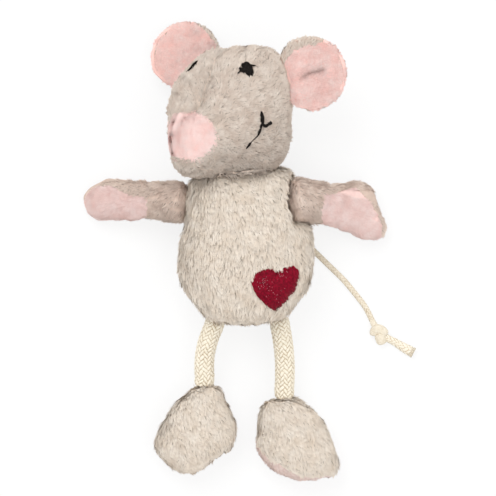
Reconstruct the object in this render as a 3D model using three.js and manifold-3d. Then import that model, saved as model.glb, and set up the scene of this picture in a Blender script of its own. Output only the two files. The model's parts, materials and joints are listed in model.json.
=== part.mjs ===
// Plush toy mouse, lying on its back on a table, in millimetres.
// +X is the toy's left, +Y runs to the top of its head and +Z is up from the table.
// The origin is on the table, under the middle of the belly.
import * as THREE from 'three';
import { mergeVertices } from 'three/addons/utils/BufferGeometryUtils.js';
import Module from 'manifold-3d';

const wasm = await Module();
wasm.setup();

// Cloth, thread and fits
const cloth = 2.2;
const clearance = 0.3;
const thread = 0.8;
const embroidery = 0.9;
const tableSink = 0.5;
const seamGap = thread + 2 * clearance;
const overrun = 300;
const seatTolerance = 0.003;

// Body: a pear that ends in a round top, on which the head turns
const body = {
  length: 58.3, width: 65, depth: 48, foot: -36.3, squareness: 2.15,
  shares: [
    [0, 0, 0, -0.02, -0.03], [0.014, 0.37, 0.35, -0.015, -0.02], [0.072, 0.62, 0.59, 0, 0],
    [0.17, 0.79, 0.77, 0.01, 0], [0.34, 0.95, 0.93, 0.01, 0], [0.55, 1.01, 1, 0.007, 0],
    [0.82, 0.97, 0.97, 0.015, 0],
  ],
};
const domeRadius = 28.2;
const domeDepthShare = 0.82;
const neckAside = -3.8;
const neckHeight = 25;
const neckRingAngle = 34;
const limbRingAngle = 30;

// Head: a blunt cone from the back of the skull to the nose
const head = {
  length: 67, width: 60.5, depth: 73, squareness: 2.8,
  shares: [
    [0, 0, 0], [0.03, 0.44, 0.42], [0.12, 0.77, 0.77], [0.32, 1, 1],
    [0.46, 0.98, 0.97, 0, 0, 2.5], [0.59, 0.86, 0.83, 0, 0, 2.15], [0.72, 0.67, 0.6, 0, 0, 2],
    [0.82, 0.48, 0.41, 0, 0, 2], [0.92, 0.36, 0.29, 0, 0, 2], [0.975, 0.23, 0.18, 0, 0, 2], [1, 0, 0],
  ],
};
const noseTip = new THREE.Vector3(-31.5, 53, 62);
const snout = new THREE.Vector3(-0.54, -0.29, 0.79);
const noseLength = 9.5;
const seamAside = 3.5;

// Stitches on the head: places across, above and along its own axis
const eyeStitch = { height: 6.6, up: 25.5, along: 20 };
const eyeWidth = { left: 7, right: 4 };
const eyeShares = [[0, 0.5], [-0.5, 0.15], [-0.35, -0.5], [0.2, -0.5], [0.5, -0.1]];
const eyeAcross = { left: 11.8, right: -3 };
const mouthStitch = { height: 18.5, width: 1.5, up: -15.1, along: 20 };
const mouthAcross = { left: 7, right: 13 };
const mouthShares = [
  [0.25, 1, 0.26, 0.6], [0.26, 0.6, 0.49, 0.7], [0.26, 0.6, 0.15, 0.37], [0.15, 0.37, -0.14, 0],
];

// Ears: shallow dishes of two panels, with a bevelled root on which they fold
const earRadius = 18.2;
const earPanel = 2.1;
const earCup = 3;
const earRootShare = 0.88;
const earBevel = 42;
const earDishShares = [0, 0.5, 0.88, 1];
const earRimPower = 6;
const ears = {
  left: {
    along: 16, turn: 30,
    outward: new THREE.Vector3(0.95, 0.3, 0.05), facing: new THREE.Vector3(0, 0.05, 1),
  },
  right: {
    along: 16, turn: 152,
    outward: new THREE.Vector3(-0.15, 0.98, 0), facing: new THREE.Vector3(-0.2, 0.1, 1),
  },
};

// Arms: round at the shoulder, drawn in at the wrist and full at the paw
const shoulderRadius = 10.8;
const shoulderReach = 7.9;
const arm = { length: 46, width: 24.5, depth: 17, squareness: 2.1 };
const pawRestShare = 0.82;
const pawHeight = 7.2;
const arms = {
  left: {
    along: 61.3, height: 24, turn: -6, roll: 30, palmLength: 38.5,
    shares: [
      [0.16, 0.86, 1.15, 0], [0.4, 0.92, 0.94, -0.03], [0.68, 1.15, 1, -0.12],
      [0.82, 1.03, 0.98, -0.23], [0.94, 0.68, 0.68, -0.38], [1, 0, 0, -0.48],
    ],
  },
  right: {
    along: 61.3, height: 19, turn: 0, roll: 50, palmLength: 35,
    shares: [
      [0.16, 0.84, 1.1], [0.4, 0.78, 0.93], [0.68, 0.96, 1], [0.82, 1, 0.98], [0.94, 0.7, 0.68],
      [1, 0, 0],
    ],
  },
};

// Legs of rope: a ball at the hip, a soft bow and a ball at the ankle
const ropeRadius = 4.8;
const hipReach = 4.5;
const ankleReach = 4.3;
const ankleHeight = 12;
const bowShares = [0.2, 0.4, 0.6, 0.8];
const legs = {
  left: {
    hip: new THREE.Vector3(16.6, -20, 18), ankle: new THREE.Vector2(18.8, -71),
    bow: 1.2, footTurn: 11, soleTilt: new THREE.Vector3(0.3, 0.3, 1),
  },
  right: {
    hip: new THREE.Vector3(-16.4, -20, 18), ankle: new THREE.Vector2(-20.2, -65),
    bow: -2.2, footTurn: -13, soleTilt: new THREE.Vector3(0, 0, 1),
  },
};

// Feet: cream above and pink below
const foot = {
  length: 41.5, width: 39.5, depth: 25, squareness: 2.2,
  shares: [
    [0, 0, 0], [0.03, 0.31, 0.34], [0.15, 0.58, 0.63], [0.38, 0.88, 0.9], [0.62, 1.01, 1],
    [0.82, 0.9, 0.88], [0.95, 0.58, 0.55], [1, 0, 0],
  ],
};
const soleHeight = 7.5;

// Heart stitched on the belly, its outline running round from the point
const heart = { width: 23, height: 22, aside: 13.6, along: 7.4, turn: -4 };
const heartShares = [
  [0.15, 0.3, 0.5, 0.42, 0.5, 0.72], [0.5, 1.04, 0.1, 1.1, 0, 0.82],
  [-0.1, 1.1, -0.5, 1.04, -0.5, 0.72], [-0.5, 0.42, -0.15, 0.3, 0, 0],
];

// Tail cord with its knot and cut end
const tailRadius = 1.5;
const tailSides = 8;
const tailStep = 3.6;
const tailRoute = [
  [16.7, 6.9, 1.5], [21, 6.3, 1.5], [25, 5.1, 1.5], [29.3, 3, 1.5], [34, -0.6, 1.5], [41.2, -7.6, 1.5],
  [48.8, -15, 1.5], [55, -22.4, 1.5], [60, -29, 1.5], [63.6, -36, 1.5],
];
const knot = {
  length: 11, width: 9, depth: 7, squareness: 2,
  shares: [
    [0, 0, 0], [0.06, 0.5, 0.5], [0.25, 0.92, 0.9], [0.5, 1, 1], [0.75, 0.92, 0.9], [0.94, 0.5, 0.5],
    [1, 0, 0],
  ],
};
const tailEnd = { length: 13, width: 3.4, flare: 4.4, turn: 37, share: 0.72 };

// How finely each form is faceted
const bodySides = 20;
const headSides = 18;
const armSides = 12;
const footSides = 14;
const ropeSides = 10;
const knotSides = 8;
const coreSidesShare = 0.65;
const earSides = 16;
const neckSocketSides = 24;
const limbSocketSides = 14;
const ringSteps = 10;
const ringSides = 4;
const curveSteps = 4;
const domeShares = [0, 0.24, 0.6, 1];

const Y = new THREE.Vector3(0, 1, 0);
const Z = new THREE.Vector3(0, 0, 1);
const toRadians = THREE.MathUtils.degToRad;

// Solids from three.js geometries and back
function solidOf(geometry) {
  const bare = geometry.clone();
  bare.deleteAttribute('normal');
  bare.deleteAttribute('uv');
  const merged = mergeVertices(bare);
  return new wasm.Manifold(new wasm.Mesh({
    numProp: 3,
    vertProperties: new Float32Array(merged.attributes.position.array),
    triVerts: new Uint32Array(merged.index.array),
  }));
}

function geometryOf(solid) {
  const mesh = solid.getMesh();
  const geometry = new THREE.BufferGeometry();
  geometry.setAttribute('position', new THREE.BufferAttribute(mesh.vertProperties, mesh.numProp));
  geometry.setIndex(new THREE.BufferAttribute(mesh.triVerts, 1));
  return geometry;
}

// A turned place: rings lie across the axis, and up and side are their two directions
function placeAt(origin, axis, upHint = Z) {
  const along = axis.clone().normalize();
  const up = upHint.clone().addScaledVector(along, -upHint.dot(along)).normalize();
  return { origin: origin.clone(), along, up, side: up.clone().cross(along) };
}

function pointIn(place, along, across, up) {
  return place.origin.clone().addScaledVector(place.along, along)
    .addScaledVector(place.side, across).addScaledVector(place.up, up);
}

// The half of space on the side that the direction points to, as far as the overrun
function halfSpace(point, direction) {
  const geometry = new THREE.BoxGeometry(overrun, overrun, overrun);
  geometry.translate(0, 0, overrun / 2);
  geometry.applyQuaternion(new THREE.Quaternion().setFromUnitVectors(Z, direction.clone().normalize()));
  geometry.translate(point.x, point.y, point.z);
  return solidOf(geometry);
}

// A faceted ball that goes round a true one of the radius, its facets' middles touching it
function ball(centre, radius, sides) {
  const aroundIt = radius / Math.cos(Math.PI / sides) ** 2;
  const geometry = new THREE.SphereGeometry(aroundIt, sides, sides / 2);
  return solidOf(geometry.translate(centre.x, centre.y, centre.z));
}

const table = halfSpace(new THREE.Vector3(), Z.clone().negate());

// Rings of a form in millimetres, from its table of shares
function rowsOf(form) {
  return form.shares.map(([along, width, depth, lean = 0, lift = 0, squareness = form.squareness]) => ({
    along: along * form.length,
    halfWidth: width * form.width / 2,
    halfDepth: depth * form.depth / 2,
    lean: lean * form.width,
    lift: lift * form.depth,
    squareness,
  }));
}

// Half of a ball in rings, from its pole to its equator, or back again
function domeRows(centre, radius, depthShare, fromPole) {
  const rings = domeShares.map((share) => share * Math.PI / 2);
  const rows = rings.map((angle) => ({
    along: centre + (fromPole ? -radius : radius) * Math.cos(angle),
    halfWidth: radius * Math.sin(angle),
    halfDepth: radius * Math.sin(angle) * depthShare,
    lean: 0,
    lift: 0,
    squareness: 2,
  }));
  return fromPole ? rows : rows.reverse();
}

// The same rings moved in by a thickness, square to the form's outline
function insetRows(rows, inset) {
  return rows.map((row, i) => {
    if (i === 0) return { ...row, along: row.along + inset };
    if (i === rows.length - 1) return { ...row, along: row.along - inset };
    const [before, after] = [rows[i - 1], rows[i + 1]];
    const run = after.along - before.along;
    const rise = (after.halfWidth + after.halfDepth - before.halfWidth - before.halfDepth) / 2;
    const slope = Math.hypot(run, rise);
    return {
      ...row,
      along: row.along + inset * rise / slope,
      halfWidth: row.halfWidth - inset * run / slope,
      halfDepth: row.halfDepth - inset * run / slope,
    };
  });
}

// A closed form through rings, from a point at one end to a point at the other
function loft(rows, place, sides) {
  const points = [pointIn(place, rows[0].along, rows[0].lean, rows[0].lift)];
  for (const row of rows.slice(1, -1)) {
    for (let i = 0; i < sides; i += 1) {
      const angle = 2 * Math.PI * i / sides;
      const across = Math.sign(Math.cos(angle)) * Math.abs(Math.cos(angle)) ** (2 / row.squareness);
      const up = Math.sign(Math.sin(angle)) * Math.abs(Math.sin(angle)) ** (2 / row.squareness);
      const [wide, high] = [across * row.halfWidth, up * row.halfDepth];
      points.push(pointIn(place, row.along, row.lean + wide, row.lift + high));
    }
  }
  const end = rows[rows.length - 1];
  points.push(pointIn(place, end.along, end.lean, end.lift));
  const index = [];
  const ringCount = rows.length - 2;
  const last = points.length - 1;
  for (let i = 0; i < sides; i += 1) {
    const next = (i + 1) % sides;
    index.push(0, 1 + next, 1 + i);
    index.push(last, 1 + (ringCount - 1) * sides + i, 1 + (ringCount - 1) * sides + next);
    for (let ring = 0; ring < ringCount - 1; ring += 1) {
      const lower = 1 + ring * sides;
      const upper = lower + sides;
      index.push(lower + i, lower + next, upper + next, lower + i, upper + next, upper + i);
    }
  }
  const geometry = new THREE.BufferGeometry();
  const positions = points.flatMap((point) => point.toArray());
  geometry.setAttribute('position', new THREE.Float32BufferAttribute(positions, 3));
  geometry.setIndex(index);
  return solidOf(geometry);
}

// A stuffed form: its cloth, its core of stuffing, and a thin skin for what is sewn on it
function stuffed(rows, place, sides) {
  const coreSides = 2 * Math.round(sides * coreSidesShare / 2);
  const outer = loft(rows, place, sides);
  return {
    place,
    outer,
    shell: outer.subtract(loft(insetRows(rows, cloth), place, sides)),
    core: loft(insetRows(rows, cloth + 2 * clearance), place, coreSides),
    skin: loft(insetRows(rows, -clearance - embroidery), place, sides)
      .subtract(loft(insetRows(rows, -clearance), place, sides)),
  };
}

// The two sides of a seam through a point, half a clearance from it each
function seamSides(point, direction) {
  const away = direction.clone().normalize().multiplyScalar(clearance / 2);
  return [
    halfSpace(point.clone().add(away), direction),
    halfSpace(point.clone().sub(away), direction.clone().negate()),
  ];
}

// A ring of thread round a joint's ball, between the ball and its socket
function seamRing(centre, direction, radius, angle) {
  const middle = radius + clearance + thread / 2;
  const geometry = new THREE.TorusGeometry(middle * Math.sin(angle), thread / 2, ringSides, ringSteps);
  geometry.applyQuaternion(new THREE.Quaternion().setFromUnitVectors(Z, direction.clone().normalize()));
  const at = centre.clone().addScaledVector(direction.clone().normalize(), middle * Math.cos(angle));
  return solidOf(geometry.translate(at.x, at.y, at.z));
}

// Where a line from inside a form leaves it, and a reach beyond
function seatOn(rows, place, from, direction, reach) {
  const along = direction.clone().normalize();
  const isInside = (point) => {
    const local = point.clone().sub(place.origin);
    const at = local.dot(place.along);
    const next = rows.findIndex((row) => row.along > at);
    if (next < 1) return false;
    const [low, high] = [rows[next - 1], rows[next]];
    const share = (at - low.along) / (high.along - low.along);
    const between = (key) => THREE.MathUtils.lerp(low[key], high[key], share);
    const across = Math.abs(local.dot(place.side) - between('lean')) / between('halfWidth');
    const up = Math.abs(local.dot(place.up) - between('lift')) / between('halfDepth');
    return across ** high.squareness + up ** high.squareness < 1;
  };
  let [inner, outer] = [0, overrun];
  while (outer - inner > seatTolerance) {
    const middle = (inner + outer) / 2;
    if (isInside(from.clone().addScaledVector(along, middle))) inner = middle;
    else outer = middle;
  }
  return from.clone().addScaledVector(along, inner + reach);
}

// An outline cut through the skin of a form, seen along a direction
function patch(outline, place, skin) {
  const settings = { depth: overrun, bevelEnabled: false, curveSegments: curveSteps };
  const geometry = new THREE.ExtrudeGeometry(outline, settings);
  const basis = new THREE.Matrix4().makeBasis(place.side, place.up, place.along).setPosition(place.origin);
  return solidOf(geometry.applyMatrix4(basis)).intersect(skin);
}

// Materials
const cream = { color: 0xe2d5c6, roughness: 0.95, metalness: 0 };
const taupe = { color: 0xc6b6a8, roughness: 0.95, metalness: 0 };
const pink = { color: 0xeecdc6, roughness: 0.95, metalness: 0 };
const cotton = { color: 0xece0cc, roughness: 0.9, metalness: 0 };
const red = { color: 0x7f1628, roughness: 0.5, metalness: 0 };
const black = { color: 0x151210, roughness: 0.5, metalness: 0 };
const filling = { color: 0xf4f4f2, roughness: 1, metalness: 0 };

const mouse = new THREE.Group();
mouse.userData.pivot = new THREE.Vector3();

// A group whose origin is a joint's pivot, in the group of the piece that carries it
function jointGroup(parent, pivot) {
  const group = new THREE.Group();
  group.position.copy(pivot).sub(parent.userData.pivot);
  group.userData.pivot = pivot.clone();
  parent.add(group);
  return group;
}

function addPart(group, name, solid, finish) {
  const { pivot } = group.userData;
  const geometry = geometryOf(solid).translate(-pivot.x, -pivot.y, -pivot.z);
  geometry.computeVertexNormals();
  const mesh = new THREE.Mesh(geometry, new THREE.MeshStandardMaterial(finish));
  mesh.name = name;
  group.add(mesh);
}

const sides = [{ name: 'left', sign: 1 }, { name: 'right', sign: -1 }];

// Body rings, and the pivots that sit on them
const bodyPlace = placeAt(new THREE.Vector3(0, body.foot, body.depth / 2 - tableSink), Y);
const domeRings = domeRows(body.length, domeRadius, domeDepthShare, false);
for (const ring of domeRings) ring.lean = -neckAside;
const bodyRows = [...rowsOf(body), ...domeRings];
const neck = new THREE.Vector3(neckAside, body.foot + body.length, neckHeight);

const shoulders = {};
const hips = {};
const ankles = {};
for (const { name, sign } of sides) {
  const chest = pointIn(bodyPlace, arms[name].along, -neckAside, arms[name].height - bodyPlace.origin.z);
  const outward = new THREE.Vector3(sign, 0, 0);
  shoulders[name] = seatOn(bodyRows, bodyPlace, chest, outward, shoulderReach);
  const down = Y.clone().negate();
  hips[name] = seatOn(bodyRows, bodyPlace, legs[name].hip, down, hipReach);
  ankles[name] = new THREE.Vector3(legs[name].ankle.x, legs[name].ankle.y, ankleHeight);
}

// Body panels and stuffing, hollowed for the balls of the arms and legs
const bodyForm = stuffed(bodyRows, bodyPlace, bodySides);
let bodySockets = table;
for (const { name } of sides) {
  bodySockets = bodySockets.add(ball(shoulders[name], shoulderRadius + seamGap, limbSocketSides));
  bodySockets = bodySockets.add(ball(hips[name], ropeRadius + seamGap, limbSocketSides));
}
const [bodyFront, bodyBack] = seamSides(bodyPlace.origin, Z);
addPart(mouse, 'body_front_panel', bodyForm.shell.intersect(bodyFront).subtract(bodySockets), cream);
addPart(mouse, 'body_back_panel', bodyForm.shell.intersect(bodyBack).subtract(bodySockets), cream);
addPart(mouse, 'body_stuffing', bodyForm.core.subtract(bodySockets), filling);

// Heart
const heartOutline = new THREE.Shape();
const heartPoint = (across, up) => [across * heart.width, up * heart.height];
heartOutline.moveTo(...heartPoint(0, 0));
for (const [ax, ay, bx, by, cx, cy] of heartShares) {
  heartOutline.bezierCurveTo(...heartPoint(ax, ay), ...heartPoint(bx, by), ...heartPoint(cx, cy));
}
const heartUp = Y.clone().applyAxisAngle(Z, toRadians(heart.turn));
const heartTip = new THREE.Vector3(heart.aside, body.foot + heart.along, bodyPlace.origin.z);
const heartPlace = placeAt(heartTip, Z, heartUp);
addPart(mouse, 'heart_embroidery', patch(heartOutline, heartPlace, bodyForm.skin), red);

// Head
const neckGroup = jointGroup(mouse, neck);
addPart(neckGroup, 'neck_stitching', seamRing(neck, Y, domeRadius, toRadians(neckRingAngle)), cotton);
const headGroup = jointGroup(neckGroup, neck);
const headRows = rowsOf(head);
const skull = noseTip.clone().addScaledVector(snout.clone().normalize(), -head.length);
const headPlace = placeAt(skull, snout, Y);
const headForm = stuffed(headRows, headPlace, headSides);
const neckSocket = ball(neck, domeRadius + seamGap, neckSocketSides).add(table);
const [noseSide, skullSide] = seamSides(pointIn(headPlace, head.length - noseLength, 0, 0), headPlace.along);
const [leftSide, rightSide] = seamSides(pointIn(headPlace, 0, seamAside, 0), headPlace.side);
const headShell = headForm.shell.subtract(neckSocket);
addPart(headGroup, 'head_left_panel', headShell.intersect(leftSide).intersect(skullSide), taupe);
addPart(headGroup, 'head_right_panel', headShell.intersect(rightSide).intersect(skullSide), taupe);
addPart(headGroup, 'nose_cap', headShell.intersect(noseSide), pink);
addPart(headGroup, 'head_stuffing', headForm.core.subtract(neckSocket), filling);

// Stitched eyes and mouth: the left side of the face as it is seen from above, and its mirror image
function facePlace(stitch, sign) {
  const mirror = (direction) => (sign > 0 ? direction.clone() : direction.clone().reflect(headPlace.side));
  return placeAt(pointIn(headPlace, stitch.along, sign * stitch.across, stitch.up), mirror(Z), mirror(Y));
}

function stroke(from, to, width) {
  const along = to.clone().sub(from).normalize().multiplyScalar(width / 2);
  const across = new THREE.Vector2(-along.y, along.x);
  const corners = [
    from.clone().sub(along), from.clone().sub(across), to.clone().sub(across), to.clone().add(along),
    to.clone().add(across), from.clone().add(across),
  ];
  return new THREE.Shape(corners);
}

for (const { name, sign } of sides) {
  const [width, height] = [eyeWidth[name], eyeStitch.height];
  const corners = eyeShares.map(([x, y]) => new THREE.Vector2(sign * x * width, y * height));
  const eyePlace = facePlace({ ...eyeStitch, across: eyeAcross[name] }, sign);
  addPart(headGroup, `${name}_eye`, patch(new THREE.Shape(corners), eyePlace, headForm.skin), black);
  const mouthPlace = facePlace({ ...mouthStitch, across: mouthAcross[name] }, sign);
  const strokes = mouthShares.map(([x, y, toX, toY]) => stroke(
    new THREE.Vector2(sign * x, y).multiplyScalar(mouthStitch.height),
    new THREE.Vector2(sign * toX, toY).multiplyScalar(mouthStitch.height),
    mouthStitch.width,
  ));
  const lines = strokes.map((shape) => patch(shape, mouthPlace, headForm.skin));
  const mouth = lines.reduce((joined, line) => joined.add(line));
  addPart(headGroup, `${name}_mouth_stitching`, mouth, black);
}

// Ears: each panel is a lathed dish, cut along its root to an edge that leaves room to fold
function earDish(low, high) {
  const rim = (share) => 1 - share ** earRimPower;
  const sag = (share) => earCup * share * share;
  const side = (height) => earDishShares.map((share) => (
    new THREE.Vector2(share * earRadius, sag(share) + height * rim(share))
  ));
  const rimGap = new THREE.Vector2(0, Math.sign(low + high) * clearance / 2);
  const profile = [...side(high), ...side(low).reverse()].map((point) => point.add(rimGap));
  return new THREE.LatheGeometry(profile, earSides);
}

const headRoom = loft(insetRows(headRows, -clearance), headPlace, headSides);
for (const { name } of sides) {
  const { along, turn, outward, facing } = ears[name];
  const middle = pointIn(headPlace, along, 0, 0);
  const angle = toRadians(turn);
  const ray = headPlace.side.clone().multiplyScalar(Math.cos(angle))
    .addScaledVector(headPlace.up, Math.sin(angle));
  const root = seatOn(headRows, headPlace, middle, ray, 2 * clearance);
  const earPlace = placeAt(root, outward, facing);
  const centre = pointIn(earPlace, earRootShare * earRadius, 0, 0);
  const basis = new THREE.Matrix4().makeBasis(earPlace.along, earPlace.up, earPlace.side).setPosition(centre);
  const earGroup = jointGroup(headGroup, root);
  const bevel = (turnSign) => {
    const direction = earPlace.along.clone().applyAxisAngle(earPlace.side, turnSign * toRadians(earBevel));
    return halfSpace(root, direction);
  };
  const front = solidOf(earDish(0, earPanel).applyMatrix4(basis));
  const back = solidOf(earDish(-earPanel, 0).applyMatrix4(basis));
  addPart(earGroup, `${name}_ear_front`, front.intersect(bevel(1)).subtract(headRoom), pink);
  addPart(earGroup, `${name}_ear_back`, back.intersect(bevel(-1)).subtract(headRoom), taupe);
}

// Arms
for (const { name, sign } of sides) {
  const { height, turn, roll, palmLength, shares } = arms[name];
  const shoulder = shoulders[name];
  const outward = new THREE.Vector3(sign, 0, 0).applyAxisAngle(Z, sign * toRadians(turn));
  const dip = (height - pawHeight) / (arm.length * pawRestShare);
  outward.multiplyScalar(Math.sqrt(1 - dip * dip)).z = -dip;
  const place = placeAt(shoulder, outward);
  const ring = seamRing(shoulder, outward.clone().negate(), shoulderRadius, toRadians(limbRingAngle));
  const seamGroup = jointGroup(mouse, shoulder);
  addPart(seamGroup, `${name}_shoulder_stitching`, ring, cotton);
  const armGroup = jointGroup(seamGroup, shoulder);
  const rows = [...domeRows(0, shoulderRadius, 1, true), ...rowsOf({ ...arm, shares })];
  const form = stuffed(rows, place, armSides);
  const shell = form.shell.subtract(table);
  const front = place.up.clone().applyAxisAngle(place.along, sign * toRadians(roll));
  const [frontSide, backSide] = seamSides(shoulder, front);
  const [palmSide, sleeveSide] = seamSides(pointIn(place, arm.length - palmLength, 0, 0), place.along);
  addPart(armGroup, `${name}_arm_back_panel`, shell.intersect(backSide), taupe);
  addPart(armGroup, `${name}_sleeve`, shell.intersect(frontSide).intersect(sleeveSide), taupe);
  addPart(armGroup, `${name}_palm`, shell.intersect(frontSide).intersect(palmSide), pink);
  addPart(armGroup, `${name}_arm_stuffing`, form.core.subtract(table), filling);
}

// Legs and feet
for (const { name } of sides) {
  const [hip, ankle] = [hips[name], ankles[name]];
  const run = ankle.clone().sub(hip);
  const ropePlace = placeAt(hip, run);
  const ring = seamRing(hip, run.clone().negate(), ropeRadius, toRadians(limbRingAngle));
  const seamGroup = jointGroup(mouse, hip);
  addPart(seamGroup, `${name}_hip_stitching`, ring, cotton);
  const legGroup = jointGroup(seamGroup, hip);
  const bowRows = bowShares.map((share) => ({
    along: share * run.length(), halfWidth: ropeRadius, halfDepth: ropeRadius,
    lean: legs[name].bow * Math.sin(share * Math.PI), lift: 0, squareness: 2,
  }));
  const ends = [domeRows(0, ropeRadius, 1, true), domeRows(run.length(), ropeRadius, 1, false)];
  const ropeRows = [...ends[0], ...bowRows, ...ends[1]];
  addPart(legGroup, `${name}_leg_rope`, loft(ropeRows, ropePlace, ropeSides), cotton);
  const footGroup = jointGroup(legGroup, ankle);
  const heading = Y.clone().negate().applyAxisAngle(Z, toRadians(legs[name].footTurn));
  const origin = ankle.clone().addScaledVector(heading, ankleReach);
  origin.z = foot.depth / 2 - tableSink;
  const place = placeAt(origin, heading);
  const form = stuffed(rowsOf(foot), place, footSides);
  const socket = ball(ankle, ropeRadius + clearance, limbSocketSides).add(table);
  const shell = form.shell.subtract(socket);
  const solePoint = pointIn(place, foot.length / 2, 0, soleHeight - origin.z);
  const [upperSide, soleSide] = seamSides(solePoint, legs[name].soleTilt);
  addPart(footGroup, `${name}_foot_upper`, shell.intersect(upperSide), cream);
  addPart(footGroup, `${name}_foot_sole`, shell.intersect(soleSide), pink);
  addPart(footGroup, `${name}_foot_stuffing`, form.core.subtract(socket), filling);
}

// Tail
const tailPoints = tailRoute.map((point) => new THREE.Vector3(...point));
const tailCurve = new THREE.CatmullRomCurve3(tailPoints);
const tailSection = new THREE.Shape();
for (let i = 0; i < tailSides; i += 1) {
  const angle = Math.PI * (2 * i + 1) / tailSides;
  const corner = [tailRadius * Math.cos(angle), tailRadius * Math.sin(angle)];
  if (i === 0) tailSection.moveTo(...corner);
  else tailSection.lineTo(...corner);
}
function cord(curve) {
  const steps = Math.round(curve.getLength() / tailStep);
  return solidOf(new THREE.ExtrudeGeometry(tailSection, { steps, extrudePath: curve, bevelEnabled: false }));
}
const tailGroup = jointGroup(mouse, tailPoints[0]);
addPart(tailGroup, 'tail_cord', cord(tailCurve).subtract(table), cotton);
const tailAway = tailCurve.getTangent(1);
const knotStart = tailPoints[tailPoints.length - 1].clone().addScaledVector(tailAway, clearance);
knotStart.z = knot.depth / 2 - tableSink;
const knotPlace = placeAt(knotStart, tailAway);
addPart(tailGroup, 'tail_knot', loft(rowsOf(knot), knotPlace, knotSides).subtract(table), cotton);
const endAway = tailAway.clone().applyAxisAngle(Z, toRadians(tailEnd.turn));
endAway.z = 0;
const endInside = pointIn(knotPlace, knot.length * tailEnd.share, 0, 0);
const endStart = seatOn(rowsOf(knot), knotPlace, endInside, endAway, clearance);
endStart.z = tailEnd.flare / 2;
const endShape = [[0, 0], [tailEnd.width / 2, 0], [tailEnd.flare / 2, tailEnd.length], [0, tailEnd.length]];
const endGeometry = new THREE.LatheGeometry(endShape.map((point) => new THREE.Vector2(...point)), tailSides);
endGeometry.applyQuaternion(new THREE.Quaternion().setFromUnitVectors(Y, endAway.normalize()));
addPart(tailGroup, 'tail_end', solidOf(endGeometry.translate(endStart.x, endStart.y, endStart.z)), cotton);

export default mouse;
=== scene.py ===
import json
import math
import bmesh
import bpy
import numpy as np
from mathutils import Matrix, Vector, kdtree
from mathutils.bvhtree import BVHTree


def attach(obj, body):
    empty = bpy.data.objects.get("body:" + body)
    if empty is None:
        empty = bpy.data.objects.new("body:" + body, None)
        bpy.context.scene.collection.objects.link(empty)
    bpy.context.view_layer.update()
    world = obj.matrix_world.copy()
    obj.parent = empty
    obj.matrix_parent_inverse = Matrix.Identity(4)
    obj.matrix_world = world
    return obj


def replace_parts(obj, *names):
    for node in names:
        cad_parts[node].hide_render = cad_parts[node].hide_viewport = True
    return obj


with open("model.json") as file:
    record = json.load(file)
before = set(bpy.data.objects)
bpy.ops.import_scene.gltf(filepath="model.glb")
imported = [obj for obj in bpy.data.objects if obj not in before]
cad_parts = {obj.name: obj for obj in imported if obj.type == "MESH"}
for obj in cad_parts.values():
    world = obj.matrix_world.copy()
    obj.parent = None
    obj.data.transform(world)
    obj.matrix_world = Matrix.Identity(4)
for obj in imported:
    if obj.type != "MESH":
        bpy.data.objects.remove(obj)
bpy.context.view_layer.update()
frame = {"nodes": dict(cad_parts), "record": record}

MM = 0.001
TURN = 2 * math.pi
UPWARD = np.array([0.0, 0, 1])
SIGNS = {"left": 1, "right": -1}

# Camera, straight above the table: metres across the picture at the toy's middle height
PICTURE_WIDTH = 0.248
MIDDLE_HEIGHT = 0.03
PICTURE_MIDDLE = (0.0005, 0.001)
CAMERA_RISE = 2.0
SENSOR_WIDTH = 36


def linked(made):
    bpy.context.collection.objects.link(made)
    return made


def make_camera():
    camera = linked(bpy.data.objects.new("camera", bpy.data.cameras.new("camera")))
    camera.location = (*PICTURE_MIDDLE, MIDDLE_HEIGHT + CAMERA_RISE)
    camera.data.sensor_width = SENSOR_WIDTH
    camera.data.lens = SENSOR_WIDTH * CAMERA_RISE / PICTURE_WIDTH
    camera.data.clip_end = 10
    bpy.context.scene.camera = camera


make_camera()


# Materials
def feed(tree, node, inputs):
    """Sets a node's inputs to values, or links them to other nodes' outputs."""
    for key, value in inputs.items():
        if isinstance(value, bpy.types.NodeSocket):
            tree.links.new(value, node.inputs[key])
        else:
            node.inputs[key].default_value = value


def add_node(tree, kind, inputs=(), **settings):
    node = tree.nodes.new("ShaderNode" + kind)
    for key, value in settings.items():
        setattr(node, key, value)
    feed(tree, node, dict(inputs))
    return node


def new_material(name):
    made = bpy.data.materials.new(name)
    made.use_nodes = True
    return made, made.node_tree, made.node_tree.nodes["Principled BSDF"]


def material(name, colours, grain, bump, roughness, specular=0.25, shade_and_tint_colour=None):
    """A surface whose colour runs between two by a noise of grain per metre, with fine relief. With a darker colour, a
    low tone of the mesh turns the surface towards it: painted shade in the pile and in the rope's grooves, and random
    tone and tint."""
    made, tree, shader = new_material(name)
    place = add_node(tree, "TexCoord").outputs["Object"]
    broad = add_node(tree, "TexNoise", {"Vector": place, "Scale": grain, "Detail": 5, "Roughness": 0.6})
    ramp = add_node(tree, "ValToRGB", {"Fac": broad.outputs["Fac"]})
    for stop, position, colour in zip(ramp.color_ramp.elements, (0.32, 0.68), colours):
        stop.position = position
        stop.color = (*colour, 1)
    colour = ramp.outputs["Color"]
    if shade_and_tint_colour:
        tone = add_node(tree, "Attribute", attribute_name="tone").outputs["Fac"]
        mixed = add_node(tree, "Mix", {"Factor": tone, "A": (*shade_and_tint_colour, 1), "B": colour}, data_type="RGBA")
        colour = mixed.outputs["Result"]
    fine = add_node(tree, "TexNoise", {"Vector": place, "Scale": grain * 4, "Detail": 3}).outputs["Fac"]
    relief = add_node(tree, "Bump", {"Strength": 0.5, "Distance": bump, "Height": fine}).outputs["Normal"]
    feed(tree, shader, {"Roughness": roughness, "Specular IOR Level": specular, "Base Color": colour, "Normal": relief})
    return made


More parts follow.
